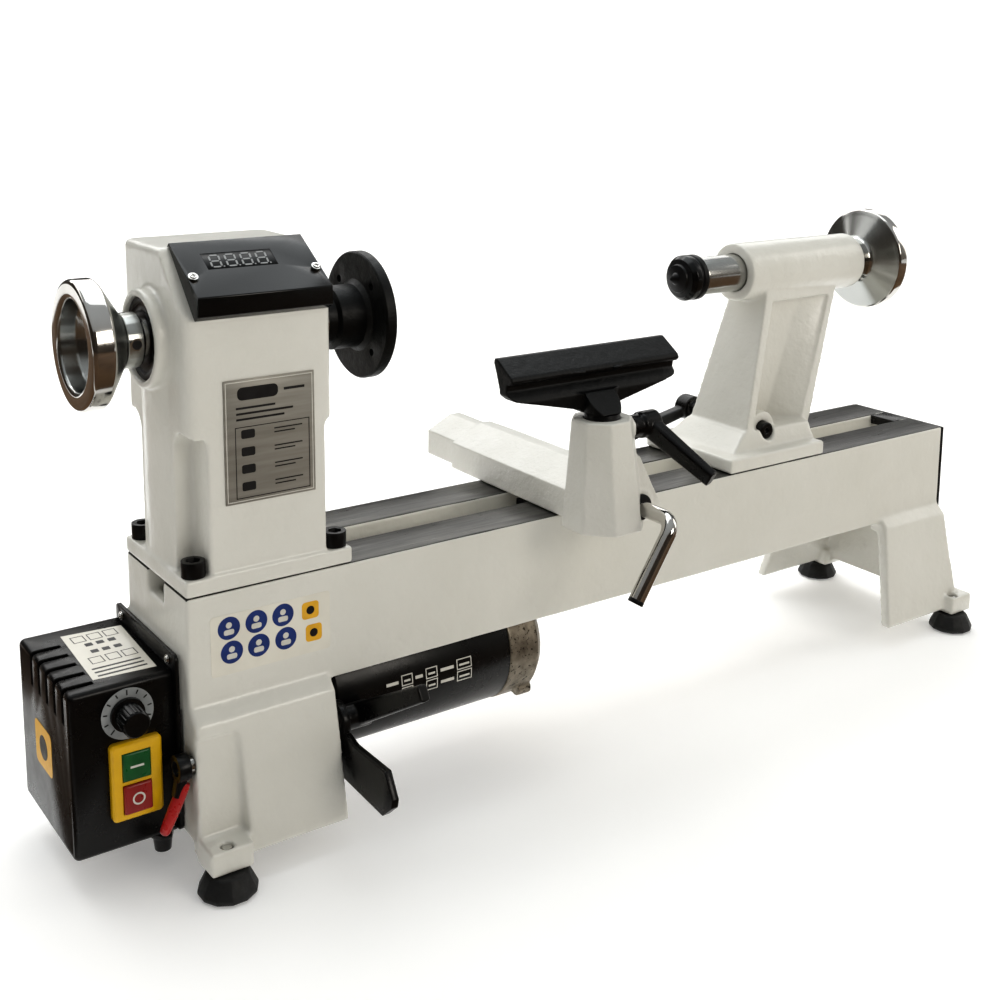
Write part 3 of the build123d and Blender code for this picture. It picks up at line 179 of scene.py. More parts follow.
MATERIALS = {
    "casting_enamel": finish(
        "casting_enamel", (211, 209, 200), (217, 215, 207), (0.3, 0.36), grain=9,
        bumps=((48, 1.5), (210, 0.3), (520, 0.06)), coat=0.45, coat_rough=0.16,
    ),
    "enamel_pitted": finish(
        "enamel_pitted", (208, 206, 197), (217, 215, 208), (0.3, 0.38), grain=12,
        bumps=((50, 1.5), (330, 0.5)), coat=0.4, coat_rough=0.18,
    ),
    "black_paint": finish(
        "black_paint", (9, 8, 8), (14, 13, 12), (0.24, 0.34), grain=22,
        bumps=((420, 0.05),), specular=0.32,
    ),
    "rough_casting": finish(
        "rough_casting", (5, 6, 6), (11, 12, 12), (0.36, 0.5), grain=90, specular=0.28,
        bumps=((150, 0.4), (700, 0.16)),
    ),
    "black_oxide": finish(
        "black_oxide", (14, 14, 15), (26, 26, 27), (0.28, 0.42), metallic=0.4, grain=70,
        bumps=((500, 0.05),),
    ),
    "chrome": finish(
        "chrome", (196, 194, 190), (214, 212, 208), (0.06, 0.13), metallic=1.0, grain=30,
    ),
    "chrome_dish": finish(
        "chrome_dish", (182, 183, 180), (194, 196, 194), (0.19, 0.23), metallic=1.0, grain=12,
        brushed=0.85,
    ),
    "steel": finish(
        "steel", (184, 184, 181), (194, 194, 191), (0.17, 0.21), metallic=1.0, grain=14,
        brushed=0.5,
    ),
    "ground_steel": finish(
        "ground_steel", (60, 60, 58), (88, 87, 84), (0.26, 0.42), metallic=1.0, grain=260,
        stretch=(0.06, 1, 1), bumps=((500, 0.03),),
    ),
    "cast_aluminium": finish(
        "cast_aluminium", (112, 104, 92), (156, 148, 134), (0.36, 0.54), metallic=0.85, grain=120,
        bumps=((240, 0.25), (900, 0.1)), spots=(420, 0.6, (58, 53, 46)),
    ),
    "rubber": finish(
        "rubber", (14, 14, 14), (24, 24, 24), (0.5, 0.68), grain=120, bumps=((600, 0.08),),
    ),
    "belt_rubber": finish(
        "belt_rubber", (16, 16, 16), (28, 28, 28), (0.6, 0.75), grain=150, bumps=((600, 0.08),),
    ),
    "black_plastic": finish(
        "black_plastic", (6, 7, 7), (11, 12, 12), (0.16, 0.26), grain=50,
        bumps=((800, 0.02),), specular=0.4,
    ),
    "window_plastic": finish(
        "window_plastic", (13, 14, 15), (19, 20, 21), (0.3, 0.4), grain=40, specular=0.2,
    ),
    "plate_foil": finish(
        "plate_foil", (152, 149, 140), (170, 167, 159), (0.3, 0.42), metallic=0.55, grain=220,
        stretch=(0.08, 1, 1), bumps=((600, 0.01),),
    ),
    "circuit_board": finish(
        "circuit_board", (16, 70, 40), (24, 86, 50), (0.35, 0.5), grain=200,
    ),
    "yellow_plastic": finish(
        "yellow_plastic", (212, 164, 0), (224, 176, 2), (0.3, 0.42), grain=70,
        bumps=((700, 0.04),),
    ),
    "green_plastic": finish(
        "green_plastic", (14, 78, 36), (22, 94, 44), (0.26, 0.38), grain=70,
    ),
    "red_plastic": finish(
        "red_plastic", (132, 22, 20), (150, 30, 26), (0.26, 0.38), grain=70,
    ),
    "red_grip": finish(
        "red_grip", (150, 22, 22), (176, 34, 32), (0.24, 0.36), grain=80, coat=0.3,
    ),
    "print_white": finish("print_white", (196, 193, 184), (208, 205, 196), (0.3, 0.4), grain=90),
    "print_grey": finish("print_grey", (134, 136, 136), (150, 152, 152), (0.35, 0.45), grain=90),
    "print_dark": finish("print_dark", (22, 22, 23), (34, 34, 36), (0.32, 0.44), grain=90),
    "print_blue": finish("print_blue", (22, 44, 104), (32, 56, 122), (0.3, 0.4), grain=90),
    "print_amber": finish("print_amber", (212, 158, 26), (226, 172, 40), (0.3, 0.4), grain=90),
    "film": finish("film", (214, 210, 198), (224, 220, 208), (0.12, 0.22), grain=30),
    "floor": finish("floor", (240, 239, 237), (246, 245, 243), (0.7, 0.85), grain=3, specular=0.2),
    "card_dark": finish("card_dark", (40, 33, 26), (58, 48, 38), (0.8, 1.0), grain=1),
    "card_grey": finish("card_grey", (56, 55, 52), (70, 68, 64), (0.8, 1.0), grain=1),
    "card_brown": finish("card_brown", (74, 54, 34), (98, 74, 50), (0.8, 1.0), grain=2),
}

# ---- building -------------------------------------------------------------
BODY_NAMES = {body: name for name, body in frame["bodies"].items()}

# Angles in degrees past which an edge is shaded sharp.
MOULDED_EDGE = 38
TURNED_EDGE = 50
CORNER_STEPS = 4


def body_of(node):
    return BODY_NAMES[frame["nodes"][node].parent]


def add_object(name, mesh, *materials):
    piece = bpy.data.objects.new(name, mesh)
    bpy.context.scene.collection.objects.link(piece)
    for material in materials:
        mesh.materials.append(MATERIALS[material])
    return piece


def dress(mesh, material):
    """Leaves the mesh with this material alone."""
    mesh.materials.clear()
    mesh.materials.append(MATERIALS[material])


def shade(mesh, sharp_angle=None):
    """Smooth shading, with the edges past an angle left sharp."""
    mesh.polygons.foreach_set("use_smooth", [True] * len(mesh.polygons))
    if sharp_angle:
        mesh.set_sharp_from_angle(angle=math.radians(sharp_angle))


def place(piece, body, slot_name, *nodes):
    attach(piece, body)
    if nodes:
        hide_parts(*nodes)
    return piece


def welded(node):
    """The node's surface as one closed mesh."""
    mesh = frame["nodes"][node].data.copy()
    mesh.materials.clear()
    shape = bmesh.new()
    shape.from_mesh(mesh)
    bmesh.ops.remove_doubles(shape, verts=shape.verts, dist=2e-6)
    for edge in shape.edges:
        edge.smooth = True
    shape.to_mesh(mesh)
    shape.free()
    return mesh


def bake(piece):
    """The piece's mesh with its modifiers worked in."""
    depsgraph = bpy.context.evaluated_depsgraph_get()
    mesh = bpy.data.meshes.new_from_object(piece.evaluated_get(depsgraph))
    old = piece.data
    piece.modifiers.clear()
    piece.data = mesh
    bpy.data.meshes.remove(old)


def bevel_edges(piece, width, segments, limit):
    """Rounds the edges past an angle in degrees, to a width in millimetres."""
    edge = piece.modifiers.new("edge", "BEVEL")
    edge.width = width / 1000
    edge.segments = segments
    edge.limit_method = "ANGLE"
    edge.angle_limit = math.radians(limit)
    bake(piece)


def skin(node, material, voxel, passes, ratio=1.0, lumps=0.0, slot_name=None):
    """A cast or moulded surface: the same form with its edges run soft."""
    piece = add_object(node + "_skin", welded(node), material)
    remesh = piece.modifiers.new("remesh", "REMESH")
    remesh.mode = "VOXEL"
    remesh.voxel_size = voxel / 1000
    soften = piece.modifiers.new("soften", "SMOOTH")
    soften.factor = 0.5
    soften.iterations = passes
    if ratio < 1.0:
        thin = piece.modifiers.new("thin", "DECIMATE")
        thin.ratio = ratio
    bake(piece)
    mesh = piece.data
    if lumps:
        normals = [vertex.normal.copy() for vertex in mesh.vertices]
        places = []
        for vertex, normal in zip(mesh.vertices, normals):
            wave = noise.noise(vertex.co * 38) + 0.5 * noise.noise(vertex.co * 90)
            places.extend(vertex.co + normal * (wave - 0.9) * lumps / 1000)
        mesh.vertices.foreach_set("co", places)
    dress(mesh, material)
    shade(mesh)
    mesh.update()
    return place(piece, body_of(node), slot_name or material, node)


def crisp(node, material, width, segments=2):
    """A machined or moulded form with small rounded edges that catch the light."""
    piece = add_object(node + "_form", welded(node), material)
    bevel_edges(piece, width, segments, 35)
    dress(piece.data, material)
    shade(piece.data, MOULDED_EDGE)
    return place(piece, body_of(node), material, node)


def closed_mesh(name, shape):
    """A mesh from a bmesh, with its faces turned outward."""
    bmesh.ops.recalc_face_normals(shape, faces=shape.faces)
    mesh = bpy.data.meshes.new(name)
    shape.to_mesh(mesh)
    shape.free()
    return mesh


def bridge(shape, one, two):
    """Faces between two rings. A ring that is a single point gives triangles."""
    faces = []
    for k in range(len(one)):
        nxt = (k + 1) % len(one)
        corners = []
        for vertex in (one[k], one[nxt], two[nxt], two[k]):
            if vertex not in corners:
                corners.append(vertex)
        if len(corners) > 2:
            faces.append(shape.faces.new(corners))
    return faces


def rounded(profile, radius):
    """A profile with each inner corner turned into a small arc."""
    out = [profile[0]]
    for before, here, after in zip(profile, profile[1:], profile[2:]):
        a, b, c = Vector(before), Vector(here), Vector(after)
        reach = min(radius, (b - a).length * 0.45, (c - b).length * 0.45)
        first = b + (a - b).normalized() * reach
        last = b + (c - b).normalized() * reach
        for step in range(CORNER_STEPS + 1):
            t = step / CORNER_STEPS
            out.append(tuple(first * (1 - t) ** 2 + b * 2 * t * (1 - t) + last * t * t))
    out.append(profile[-1])
    return out


def lathe(name, profile, segments, radius, materials, tint):
    """A turned form about the spindle's line from (x, radius) points.

    Where tint(x, radius) is 1, a face has the second of the two materials.
    """
    points = rounded(profile, radius)
    shape = bmesh.new()
    rings = []
    for x, r in points:
        if r < 0.01:
            rings.append([shape.verts.new(at(x, 0, SPINDLE))] * segments)
            continue
        ring = []
        for k in range(segments):
            turn = 2 * math.pi * k / segments
            ring.append(shape.verts.new(at(x, r * math.cos(turn), SPINDLE + r * math.sin(turn))))
        rings.append(ring)
    for number, (one, two) in enumerate(zip(rings, rings[1:])):
        x = (points[number][0] + points[number + 1][0]) / 2
        r = (points[number][1] + points[number + 1][1]) / 2
        for face in bridge(shape, one, two):
            face.material_index = tint(x, r)
    piece = add_object(name, closed_mesh(name, shape), *materials)
    shade(piece.data, TURNED_EDGE)
    return piece


def tube(name, centres, radii, material, segments):
    """A round bar along a line of points, with a radius in millimetres at each."""
    shape = bmesh.new()
    rings = []
    side = None
    for number, (centre, r) in enumerate(zip(centres, radii)):
        ahead = centres[min(number + 1, len(centres) - 1)]
        behind = centres[max(number - 1, 0)]
        way = (ahead - behind).normalized()
        if side is None:
            side = way.orthogonal().normalized()
        side = (side - way * side.dot(way)).normalized()
        other = way.cross(side)
        ring = []
        for k in range(segments):
            turn = 2 * math.pi * k / segments
            offset = side * math.cos(turn) + other * math.sin(turn)
            ring.append(shape.verts.new(centre + offset * r / 1000))
        rings.append(ring)
    for one, two in zip(rings, rings[1:]):
        bridge(shape, one, two)
    shape.faces.new(list(reversed(rings[0])))
    shape.faces.new(rings[-1])
    piece = add_object(name, closed_mesh(name, shape), material)
    shade(piece.data, TURNED_EDGE)
    return piece


def soft_box(name, low, high, material, edge):
    """A block between two corners with rounded edges."""
    shape = bmesh.new()
    corners = [
        shape.verts.new(Vector((x, y, z)))
        for x in (low.x, high.x)
        for y in (low.y, high.y)
        for z in (low.z, high.z)
    ]
    sides = ((0, 1, 3, 2), (4, 6, 7, 5), (0, 4, 5, 1), (2, 3, 7, 6), (0, 2, 6, 4), (1, 5, 7, 3))
    for side in sides:
        shape.faces.new([corners[k] for k in side])
    bmesh.ops.recalc_face_normals(shape, faces=shape.faces)
    bmesh.ops.bevel(
        shape, geom=shape.edges[:], offset=edge / 1000, segments=3, affect="EDGES", profile=0.5
    )
    piece = add_object(name, closed_mesh(name, shape), material)
    shade(piece.data, MOULDED_EDGE)
    return piece


# Shapes on a flat sheet, in millimetres.
def disc(u, v, r, n=40):
    return [
        (u + r * math.cos(2 * math.pi * k / n), v + r * math.sin(2 * math.pi * k / n))
        for k in range(n)
    ]


def bar(u0, v0, u1, v1):
    return [(u0, v0), (u1, v0), (u1, v1), (u0, v1)]


def tile(u0, v0, u1, v1, r=1.2, n=5):
    """A rectangle with round corners."""
    out = []
    corners = (
        (u1 - r, v0 + r, -90),
        (u1 - r, v1 - r, 0),
        (u0 + r, v1 - r, 90),
        (u0 + r, v0 + r, 180),
    )
    for cx, cy, start in corners:
        for k in range(n + 1):
            turn = math.radians(start + 90 * k / n)
            out.append((cx + r * math.cos(turn), cy + r * math.sin(turn)))
    return out


def frame_bars(u0, v0, u1, v1, w):
    """A thin outline as four bars."""
    return [
        bar(u0, v0, u1, v0 + w),
        bar(u0, v1 - w, u1, v1),
        bar(u0, v0 + w, u0 + w, v1 - w),
        bar(u1 - w, v0 + w, u1, v1 - w),
    ]


def ring_shapes(u, v, r, w, n=28):
    """A ring as short bars."""
    out = []
    for k in range(n):
        a, b = 2 * math.pi * k / n, 2 * math.pi * (k + 1) / n
        out.append([
            (u + (r - w) * math.cos(a), v + (r - w) * math.sin(a)),
            (u + r * math.cos(a), v + r * math.sin(a)),
            (u + r * math.cos(b), v + r * math.sin(b)),
            (u + (r - w) * math.cos(b), v + (r - w) * math.sin(b)),
        ])
    return out


def prints(name, origin, right, up, shapes, low, high, material, body, slot_name):
    """Thin raised shapes on a flat face, between two heights above it."""
    out = right.cross(up).normalized()
    shape = bmesh.new()
    for outline in shapes:
        bottom = []
        top = []
        for u, v in outline:
            point = origin + (right * u + up * v) / 1000
            bottom.append(shape.verts.new(point + out * low / 1000))
            top.append(shape.verts.new(point + out * high / 1000))
        shape.faces.new(top)
        shape.faces.new(list(reversed(bottom)))
        bridge(shape, bottom, top)
    piece = add_object(name, closed_mesh(name, shape), material)
    return place(piece, body, slot_name)


# ---- castings -------------------------------------------------------------
skin("bed_casting", "casting_enamel", 1.5, 9, 0.36, 0.12)
skin("headstock_casting", "casting_enamel", 1.2, 8, 0.45, 0.12)
barrel = skin("tailstock_casting", "casting_enamel", 1.2, 9, 0.5, 0.14)

# The bore is kept clear of the quill that slides in it, as far as the narrower
# one for the feed screw.
quill_low, quill_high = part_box("quill")
quill_z = (quill_low.z + quill_high.z) / 2
bore_r = (quill_high.y - quill_low.y) / 2 + 0.0004
bore_end = at(620, 0, 0).x
line_margin = 0.005
for vertex in barrel.data.vertices:
    across = Vector((vertex.co.y, vertex.co.z - quill_z))
    if vertex.co.x < bore_end and line_margin < across.length < bore_r:
        vertex.co.y = across.x * bore_r / across.length
        vertex.co.z = quill_z + across.y * bore_r / across.length
skin("banjo_casting", "enamel_pitted", 1.0, 8, 0.5, 0.14, "casting_enamel")
skin("motor_end_cap", "cast_aluminium", 0.9, 3, 0.7, 0.05)
blade = skin("tool_rest", "rough_casting", 0.75, 7, 0.8, 0.06)

# The blade's foot runs down round over the stem.
stem_low, stem_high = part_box("rest_stem")
stem_x = (stem_low.x + stem_high.x) / 2
stem_y = (stem_low.y + stem_high.y) / 2
blade_foot_r = 0.0133
blade_foot_back = stem_y + 0.0047
blade_foot_reach = 0.024
for vertex in blade.data.vertices:
    reach = Vector((vertex.co.x - stem_x, vertex.co.y - stem_y))
    if vertex.co.y < blade_foot_back and blade_foot_r < reach.length < blade_foot_reach:
        vertex.co.x = stem_x + reach.x * blade_foot_r / reach.length
        vertex.co.y = stem_y + reach.y * blade_foot_r / reach.length

# Ground strips on both ways.
for side, y0, y1 in (("front", -50.1, -13.6), ("back", 13.6, 50.1)):
    way = soft_box("way_" + side, at(0.8, y0, -7.0), at(719.4, y1, 0.06), "ground_steel", 0.9)
    place(way, "frame", "steel")

# A black block flush with the top at the slot's end, beside the end plate: painted shade standing in
# for the dark recess there.
slot_end_painted_shade = soft_box("slot_end_painted_shade", at(700, -13.4, -8), at(719.4, 13.4, 0.04), "black_paint", 0.6)
place(slot_end_painted_shade, "frame", "black_paint")

# ---- forms that follow the solids ----------------------------------------
# Each node's material and the width of its rounded edges in millimetres.
FORMS = {
    "bed_end_plate": ("black_paint", 0.6),
    "foot_studs": ("steel", 0.2),
    "headstock_bolts": ("black_oxide", 0.35),
    "spindle_bearings": ("black_oxide", 0.3),
    "display_housing": ("black_plastic", 1.1),
    "display_window": ("window_plastic", 0.3),
    "rating_plate": ("plate_foil", 0.12),
    "control_box_shell": ("black_paint", 1.0),
    "control_box_flange": ("black_paint", 0.8),
    "control_board": ("circuit_board", 0.1),
    "dial_plate": ("black_plastic", 0.2),
    "speed_control": ("black_plastic", 0.2),
    "switch_frame": ("yellow_plastic", 0.9),
    "cable_gland": ("black_plastic", 0.5),
    "cover_screws": ("chrome", 0.25),
    "door_hinge": ("black_oxide", 0.3),
    "belt_door": ("casting_enamel", 0.8),
    "spindle_shaft": ("steel", 0.4),
    "spindle_pulley": ("cast_aluminium", 0.3),
    "handwheel_set_screw": ("black_oxide", 0.3),
    "motor_plate": ("black_paint", 0.5),
    "pivot_shaft": ("steel", 0.4),
    "motor_shell": ("black_paint", 1.2),
    "motor_bolts": ("black_oxide", 0.3),
    "brush_caps": ("black_plastic", 0.5),
    "tension_lever": ("black_oxide", 0.6),
    "motor_armature": ("steel", 0.3),
    "motor_pulley": ("cast_aluminium", 0.3),
    "speed_knob": ("black_plastic", 0.7),
    "start_button": ("green_plastic", 0.8),
    "stop_button": ("red_plastic", 0.8),
    "tailstock_key": ("steel", 0.2),
    "tailstock_clamp_bolt": ("black_oxide", 0.3),
    "tailstock_clamp_plate": ("black_oxide", 0.6),
    "quill": ("steel", 0.7),
    "live_centre_shank": ("steel", 0.3),
    "feed_screw": ("steel", 0.3),
    "banjo_clamp_plate": ("black_oxide", 0.6),
    "banjo_clamp_bolt": ("black_oxide", 0.3),
    "banjo_bushings": ("black_oxide", 0.5),
    "crank_end_ring": ("black_oxide", 0.3),
    "rest_stem": ("black_oxide", 0.5),
}
for node, (material, width) in FORMS.items():
    crisp(node, material, width)

for node in ("motor_lock_lever", "quill_lock_lever", "rest_lock_lever", "tailstock_clamp_lever"):
    skin(node, "black_paint", 0.7, 6, 0.8)

# The belt keeps its own mesh, because it shortens as the motor is lifted.
belt = frame["nodes"]["drive_belt"]
dress(belt.data, "belt_rubber")

# ---- turned pieces --------------------------------------------------------
HANDWHEEL = [
    (-5.6, 11), (-5.6, 16.2), (-6.6, 17.2), (-17, 17.2), (-18.5, 19.5), (-31, 38.6),
    (-32.5, 40), (-43.5, 40), (-45.5, 38.4), (-45.5, 30.2), (-44.2, 28), (-34, 27.4),
    (-27, 22), (-26, 13), (-31, 13), (-31, 11), (-5.6, 11),
]
wheel = lathe(
    "spindle_handwheel_form", HANDWHEEL, 160, 1.3, ("chrome", "chrome_dish"),
    lambda x, r: 1 if r < 38.4 and x > -45 else 0,
)
place(wheel, "spindle", "chrome", "spindle_handwheel")

# Set screw in the wheel's hub, shown by a rim and a flat dark disc in the middle: painted shade
# standing in for the hole.
for name, r, low, high, material in (
    ("set_screw_rim", 3.9, -0.4, 0.02, "steel"),
    ("set_screw_hole_shade", 3.0, -0.3, 0.08, "print_dark"),
):
    spot = disc(0, 0, r, 24)
    hub_front = at(-11.5, -17.2, SPINDLE)
    prints(name, hub_front, X, Z, [spot], low, high, material, "spindle", "black_oxide")

TAIL_WHEEL = [
    (636.5, 8), (636.5, 20), (641, 20), (641.6, 18.8), (647.5, 18.8), (649, 20.5),
    (656, 38.5), (657.5, 42.8), (658.6, 43.6), (666.4, 43.6), (667.6, 42), (667.6, 33),
    (664, 29.5), (656, 27), (653, 13), (657, 11), (657, 8), (636.5, 8),
]
wheel = lathe(
    "tail_handwheel_form", TAIL_WHEEL, 160, 1.0, ("chrome", "chrome_dish"),
    lambda x, r: 1 if 19 < r < 42 and 648 < x < 657 else 0,
)
place(wheel, "tail_wheel", "chrome", "tail_handwheel")

LIVE_CENTRE = [
    (430, 0), (436.5, 5), (437.5, 11), (439.5, 11.5), (440.5, 15.5), (444, 18.3), (449, 18.3),
    (449.6, 17.2), (451.4, 17.2), (452, 18.3), (456.2, 18.3), (457.6, 16.8), (457.6, 5.06),
    (448.8, 5.06), (448.8, 0),
]
head = lathe(
    "live_centre_head_form", LIVE_CENTRE, 96, 0.5, ("black_oxide", "black_plastic"),
    lambda x, r: 1 if 440.5 < x < 449 else 0,
)
place(head, "live_centre", "black_oxide", "live_centre_head")

crisp("faceplate", "rough_casting", 0.8, 3)

# ---- the clamp's crank ----------------------------------------------------
crank_x = 317
shaft_z = 13.0
shaft_back = 104
elbow = 11.0
low_end = Vector((285, -135.5, -36))
bend = Vector((crank_x, -135.5, shaft_z))
arm_way = (low_end - bend).normalized()
arm_length = (low_end - bend).length
line = [(crank_x, shaft_back - 0.3, shaft_z), (crank_x, shaft_back - 0.8, shaft_z)]
line += [(crank_x, 100 - 25 * k, shaft_z) for k in range(9)]
elbow_centre = bend + arm_way * elbow + Y * elbow
for k in range(13):
    turn = math.pi / 2 * k / 12
    line.append(elbow_centre - arm_way * elbow * math.cos(turn) - Y * elbow * math.sin(turn))
for k in range(1, 6):
    line.append(bend + arm_way * (elbow + (arm_length - elbow) * k / 5))
crank = tube("banjo_crank_form", [at(*p) for p in line], [5.5] * len(line), "chrome", 48)
place(crank, "banjo_lock", "steel", "banjo_crank")
collar = [at(crank_x, y, shaft_z) for y in (-98.6, -99.4, -101.0, -101.5)]
ring = tube("crank_collar", collar, (9.8, 9.8, 9.8, 9.0), "black_oxide", 48)
place(ring, "banjo", "black_oxide")

# ---- the belt tension lever's grip ----------------------------------------
grip_low, grip_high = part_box("tension_lever_grip")
grip_y = (grip_low.y + grip_high.y) / 2
bottom = Vector((grip_low.x + 0.003, grip_y, grip_low.z + 0.0006))
top = Vector((grip_high.x - 0.002, grip_y, grip_high.z))
top += (top - bottom) * 0.35
widths = (1.2, 2.5, 3.2, 3.5, 3.7, 3.9, 3.9, 3.8, 3.5, 3.0)
steps = (0, 0.02, 0.06, 0.14, 0.3, 0.5, 0.7, 0.86, 0.96, 1.0)
grip_line = [bottom.lerp(top, t) for t in steps]
grip = tube("tension_lever_grip_form", grip_line, widths, "red_grip", 32)
place(grip, "motor_carriage", "red_grip", "tension_lever_grip")

# ---- feet -----------------------------------------------------------------
FOOT_RADIUS = 0.0188
FOOT_SIDES = 12


def foot(shape, x, y, top):
    """A twelve-sided rubber cone standing on the floor."""
    rings = []
    for z, r in ((0.0, 17.6), (0.0012, 18.7), (0.003, 18.7), (top - 0.0012, 13.9), (top, 12.8)):
        ring = []
        for k in range(FOOT_SIDES):
            turn = 2 * math.pi * (k + 0.5) / FOOT_SIDES
            offset = (r / 1000 * math.cos(turn), r / 1000 * math.sin(turn))
            ring.append(shape.verts.new((x + offset[0], y + offset[1], z)))
        rings.append(ring)
    for one, two in zip(rings, rings[1:]):
        bridge(shape, one, two)
    shape.faces.new(list(reversed(rings[0])))
    shape.faces.new(rings[-1])


foot_low, foot_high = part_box("rubber_feet")
shape = bmesh.new()
for x in (foot_low.x + FOOT_RADIUS, foot_high.x - FOOT_RADIUS):
    for y in (foot_low.y + FOOT_RADIUS, foot_high.y - FOOT_RADIUS):
        foot(shape, x, y, foot_high.z)
feet = add_object("rubber_feet_form", closed_mesh("rubber_feet_form", shape), "rubber")
bevel_edges(feet, 0.5, 2, 15)
shade(feet.data, 20)
place(feet, "frame", "rubber", "rubber_feet")

# ---- plain marks in place of the labels ----------------------------------
# Clear film with coloured discs and tiles on the front of the bed.
face = at(0, -51.0, 0)
prints("bed_film", face, X, Z, [tile(15, -54, 97, -15, 2)], -0.1, 0.04, "film", "frame", "plate_foil")
disc_places = ((27.2, -24), (45.6, -24), (63.8, -24), (28.8, -40), (46.9, -40), (65.5, -40))
discs = [disc(x, z, 7.4) for x, z in disc_places]
prints("bed_discs", face, X, Z, discs, 0, 0.1, "print_blue", "frame", "plate_foil")
dots = []
for x, z in disc_places:
    dots.append(disc(x, z + 1.9, 2.0, 20))
    dots.append(tile(x - 3.4, z - 4.4, x + 3.4, z - 0.9, 1.3))
prints("bed_disc_marks", face, X, Z, dots, 0.05, 0.16, "print_white", "frame", "plate_foil")
tiles = [tile(77, -31, 89, -19.5, 2.4), tile(79.5, -46.5, 91, -35, 2.4)]
prints("bed_tiles", face, X, Z, tiles, 0, 0.1, "print_amber", "frame", "plate_foil")
marks = [disc(83, -25.2, 2.8, 24), disc(85.2, -40.8, 2.8, 24)]
prints("bed_tile_marks", face, X, Z, marks, 0.05, 0.16, "print_dark", "frame", "plate_foil")

# Rating plate with rows of plain bars.
low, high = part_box("rating_plate")
origin = Vector((low.x, low.y, low.z))
wide = (high.x - low.x) * 1000
tall = (high.z - low.z) * 1000
shapes = frame_bars(7, 3, 57, 48, 0.5)
for row in range(4):
    v = 7.5 + row * 11
    shapes.append(tile(11, v, 20, v + 5.5, 1.2))
    shapes.append(bar(33, v + 3.4, 52, v + 4.2))
    shapes.append(bar(33, v + 1.0, 47, v + 1.8))
for v, u0, u1 in ((52, 8, 40), (55.5, 8, 46), (59, 8, 34)):
    shapes.append(bar(u0, v, u1, v + 1.3))
shapes.append(tile(9, 64.5, 36, 72.5, 3.2))
shapes.append(bar(40, 67.6, 54, 69.2))
prints("plate_marks", origin, X, Z, shapes, 0, 0.09, "print_dark", "frame", "plate_foil")
rims = frame_bars(1.2, 1.2, wide - 1.2, tall - 1.2, 0.5)
prints("plate_rim", origin, X, Z, rims, 0, 0.08, "print_white", "frame", "plate_foil")

# Display digits: four unlit figures of seven bars.
FIGURE_WIDE = 6.2
FIGURE_HIGH = 10.6
FIGURE_BAR = 1.15
FIGURE_LEAN = 0.1


def figure(u, v):
    """Three level bars, four upright ones and a point, leaning a little."""
    wide, half_high, half = FIGURE_WIDE, FIGURE_HIGH / 2, FIGURE_BAR / 2
    outlines = []
    for y in (0, half_high, FIGURE_HIGH):
        lower = [(0.5, y), (1.0, y - half), (wide - 1.0, y - half)]
        upper = [(wide - 0.5, y), (wide - 1.0, y + half), (1.0, y + half)]
        outlines.append(lower + upper)
    for x in (0, wide):
        for y in (0, half_high):
            right = [(x, y + 0.5), (x + half, y + 1.0), (x + half, y + half_high - 1.0)]
            left = [(x, y + half_high - 0.5), (x - half, y + half_high - 1.0), (x - half, y + 1.0)]
            outlines.append(right + left)
    slanted = [[(u + x + FIGURE_LEAN * y, v + y) for x, y in points] for points in outlines]
    return slanted + [disc(u + wide + 1.4, v, 0.55, 14)]


slope_foot = Vector((0, -55.5, 184.0))
slope_head = Vector((0, -12.5, 211.6))
slope = (slope_head - slope_foot).normalized()
mid = slope_foot + (slope_head - slope_foot) * 0.62
window_face = at(50.5, mid.y, mid.z)
digits = []
for k in range(4):
    digits += figure(-19.5 + k * 10.2, -FIGURE_HIGH / 2)
prints(
    "display_digits", window_face, X, slope, digits, -0.12, 0.03,
    "print_grey", "frame", "window_plastic",
)

# Box top: a white film with rows of squares and bars.
box_low, box_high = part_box("control_box_shell")
origin = Vector((BED_LEFT, 0, box_high.z))
film = [[(-46, 50), (-49.3, -23.5), (-10.4, -26.3), (-7.2, 46.2)]]
prints("box_film", origin, X, Y, film, -0.1, 0.12, "film", "frame", "plate_foil")
squares = []
for y in (28, 16.5):
    squares += [tile(x - 2.4, y - 2.4, x + 2.4, y + 2.4, 0.5) for x in (-34.7, -27.4, -19.8)]
for row, y in enumerate((39, 3)):
    for x in (-38, -27.4, -17):
        squares += frame_bars(x - 4.2, y - 5, x + 4.2, y + 5, 0.6)
for y in (-10, -15.5, -21):
    squares.append(bar(-45, y, -14, y + 1.9))
prints("box_marks", origin, X, Y, squares, 0.05, 0.2, "print_dark", "frame", "plate_foil")

# Amber tile on the side of the box, whose side stands back by the tile's thickness.
cover = bpy.data.objects["control_box_shell_form"]
for vertex in cover.data.vertices:
    if vertex.co.x < box_low.x + 0.0003:
        vertex.co.x += 0.00025
origin = Vector((box_low.x, 0, BED_TOP))
tiles = [tile(-34, -119, -1, -90, 4.0)]
prints("box_tile", origin, -Y, Z, tiles, -0.3, -0.1, "print_amber", "frame", "plate_foil")
marks = [disc(-17.5, -104.5, 8.0, 36)]
prints("box_tile_mark", origin, -Y, Z, marks, -0.2, -0.02, "print_dark", "frame", "plate_foil")

# Ring of ticks around the speed knob.
plate_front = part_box("dial_plate")[0].y
origin = Vector((BED_LEFT, plate_front, BED_TOP))
hub = Vector((-34, -68))
ticks = []
for k in range(11):
    turn = math.radians(-135 + 27 * k)
    way = Vector((math.sin(turn), math.cos(turn)))
    across = Vector((way.y, -way.x)) * 0.45
    inner = hub + way * (12.6 if k % 5 else 11.8)
    outer = hub + way * 15.2
    corners = (inner - across, outer - across, outer + across, inner + across)
    ticks.append([tuple(corner) for corner in corners])
prints("dial_ticks", origin, X, Z, ticks, 0.05, 0.2, "print_dark", "frame", "black_plastic")
dial_ring = ring_shapes(hub.x, hub.y, 16.3, 6.0, 48)
prints("dial_ring", origin, X, Z, dial_ring, 0, 0.12, "print_grey", "frame", "black_plastic")

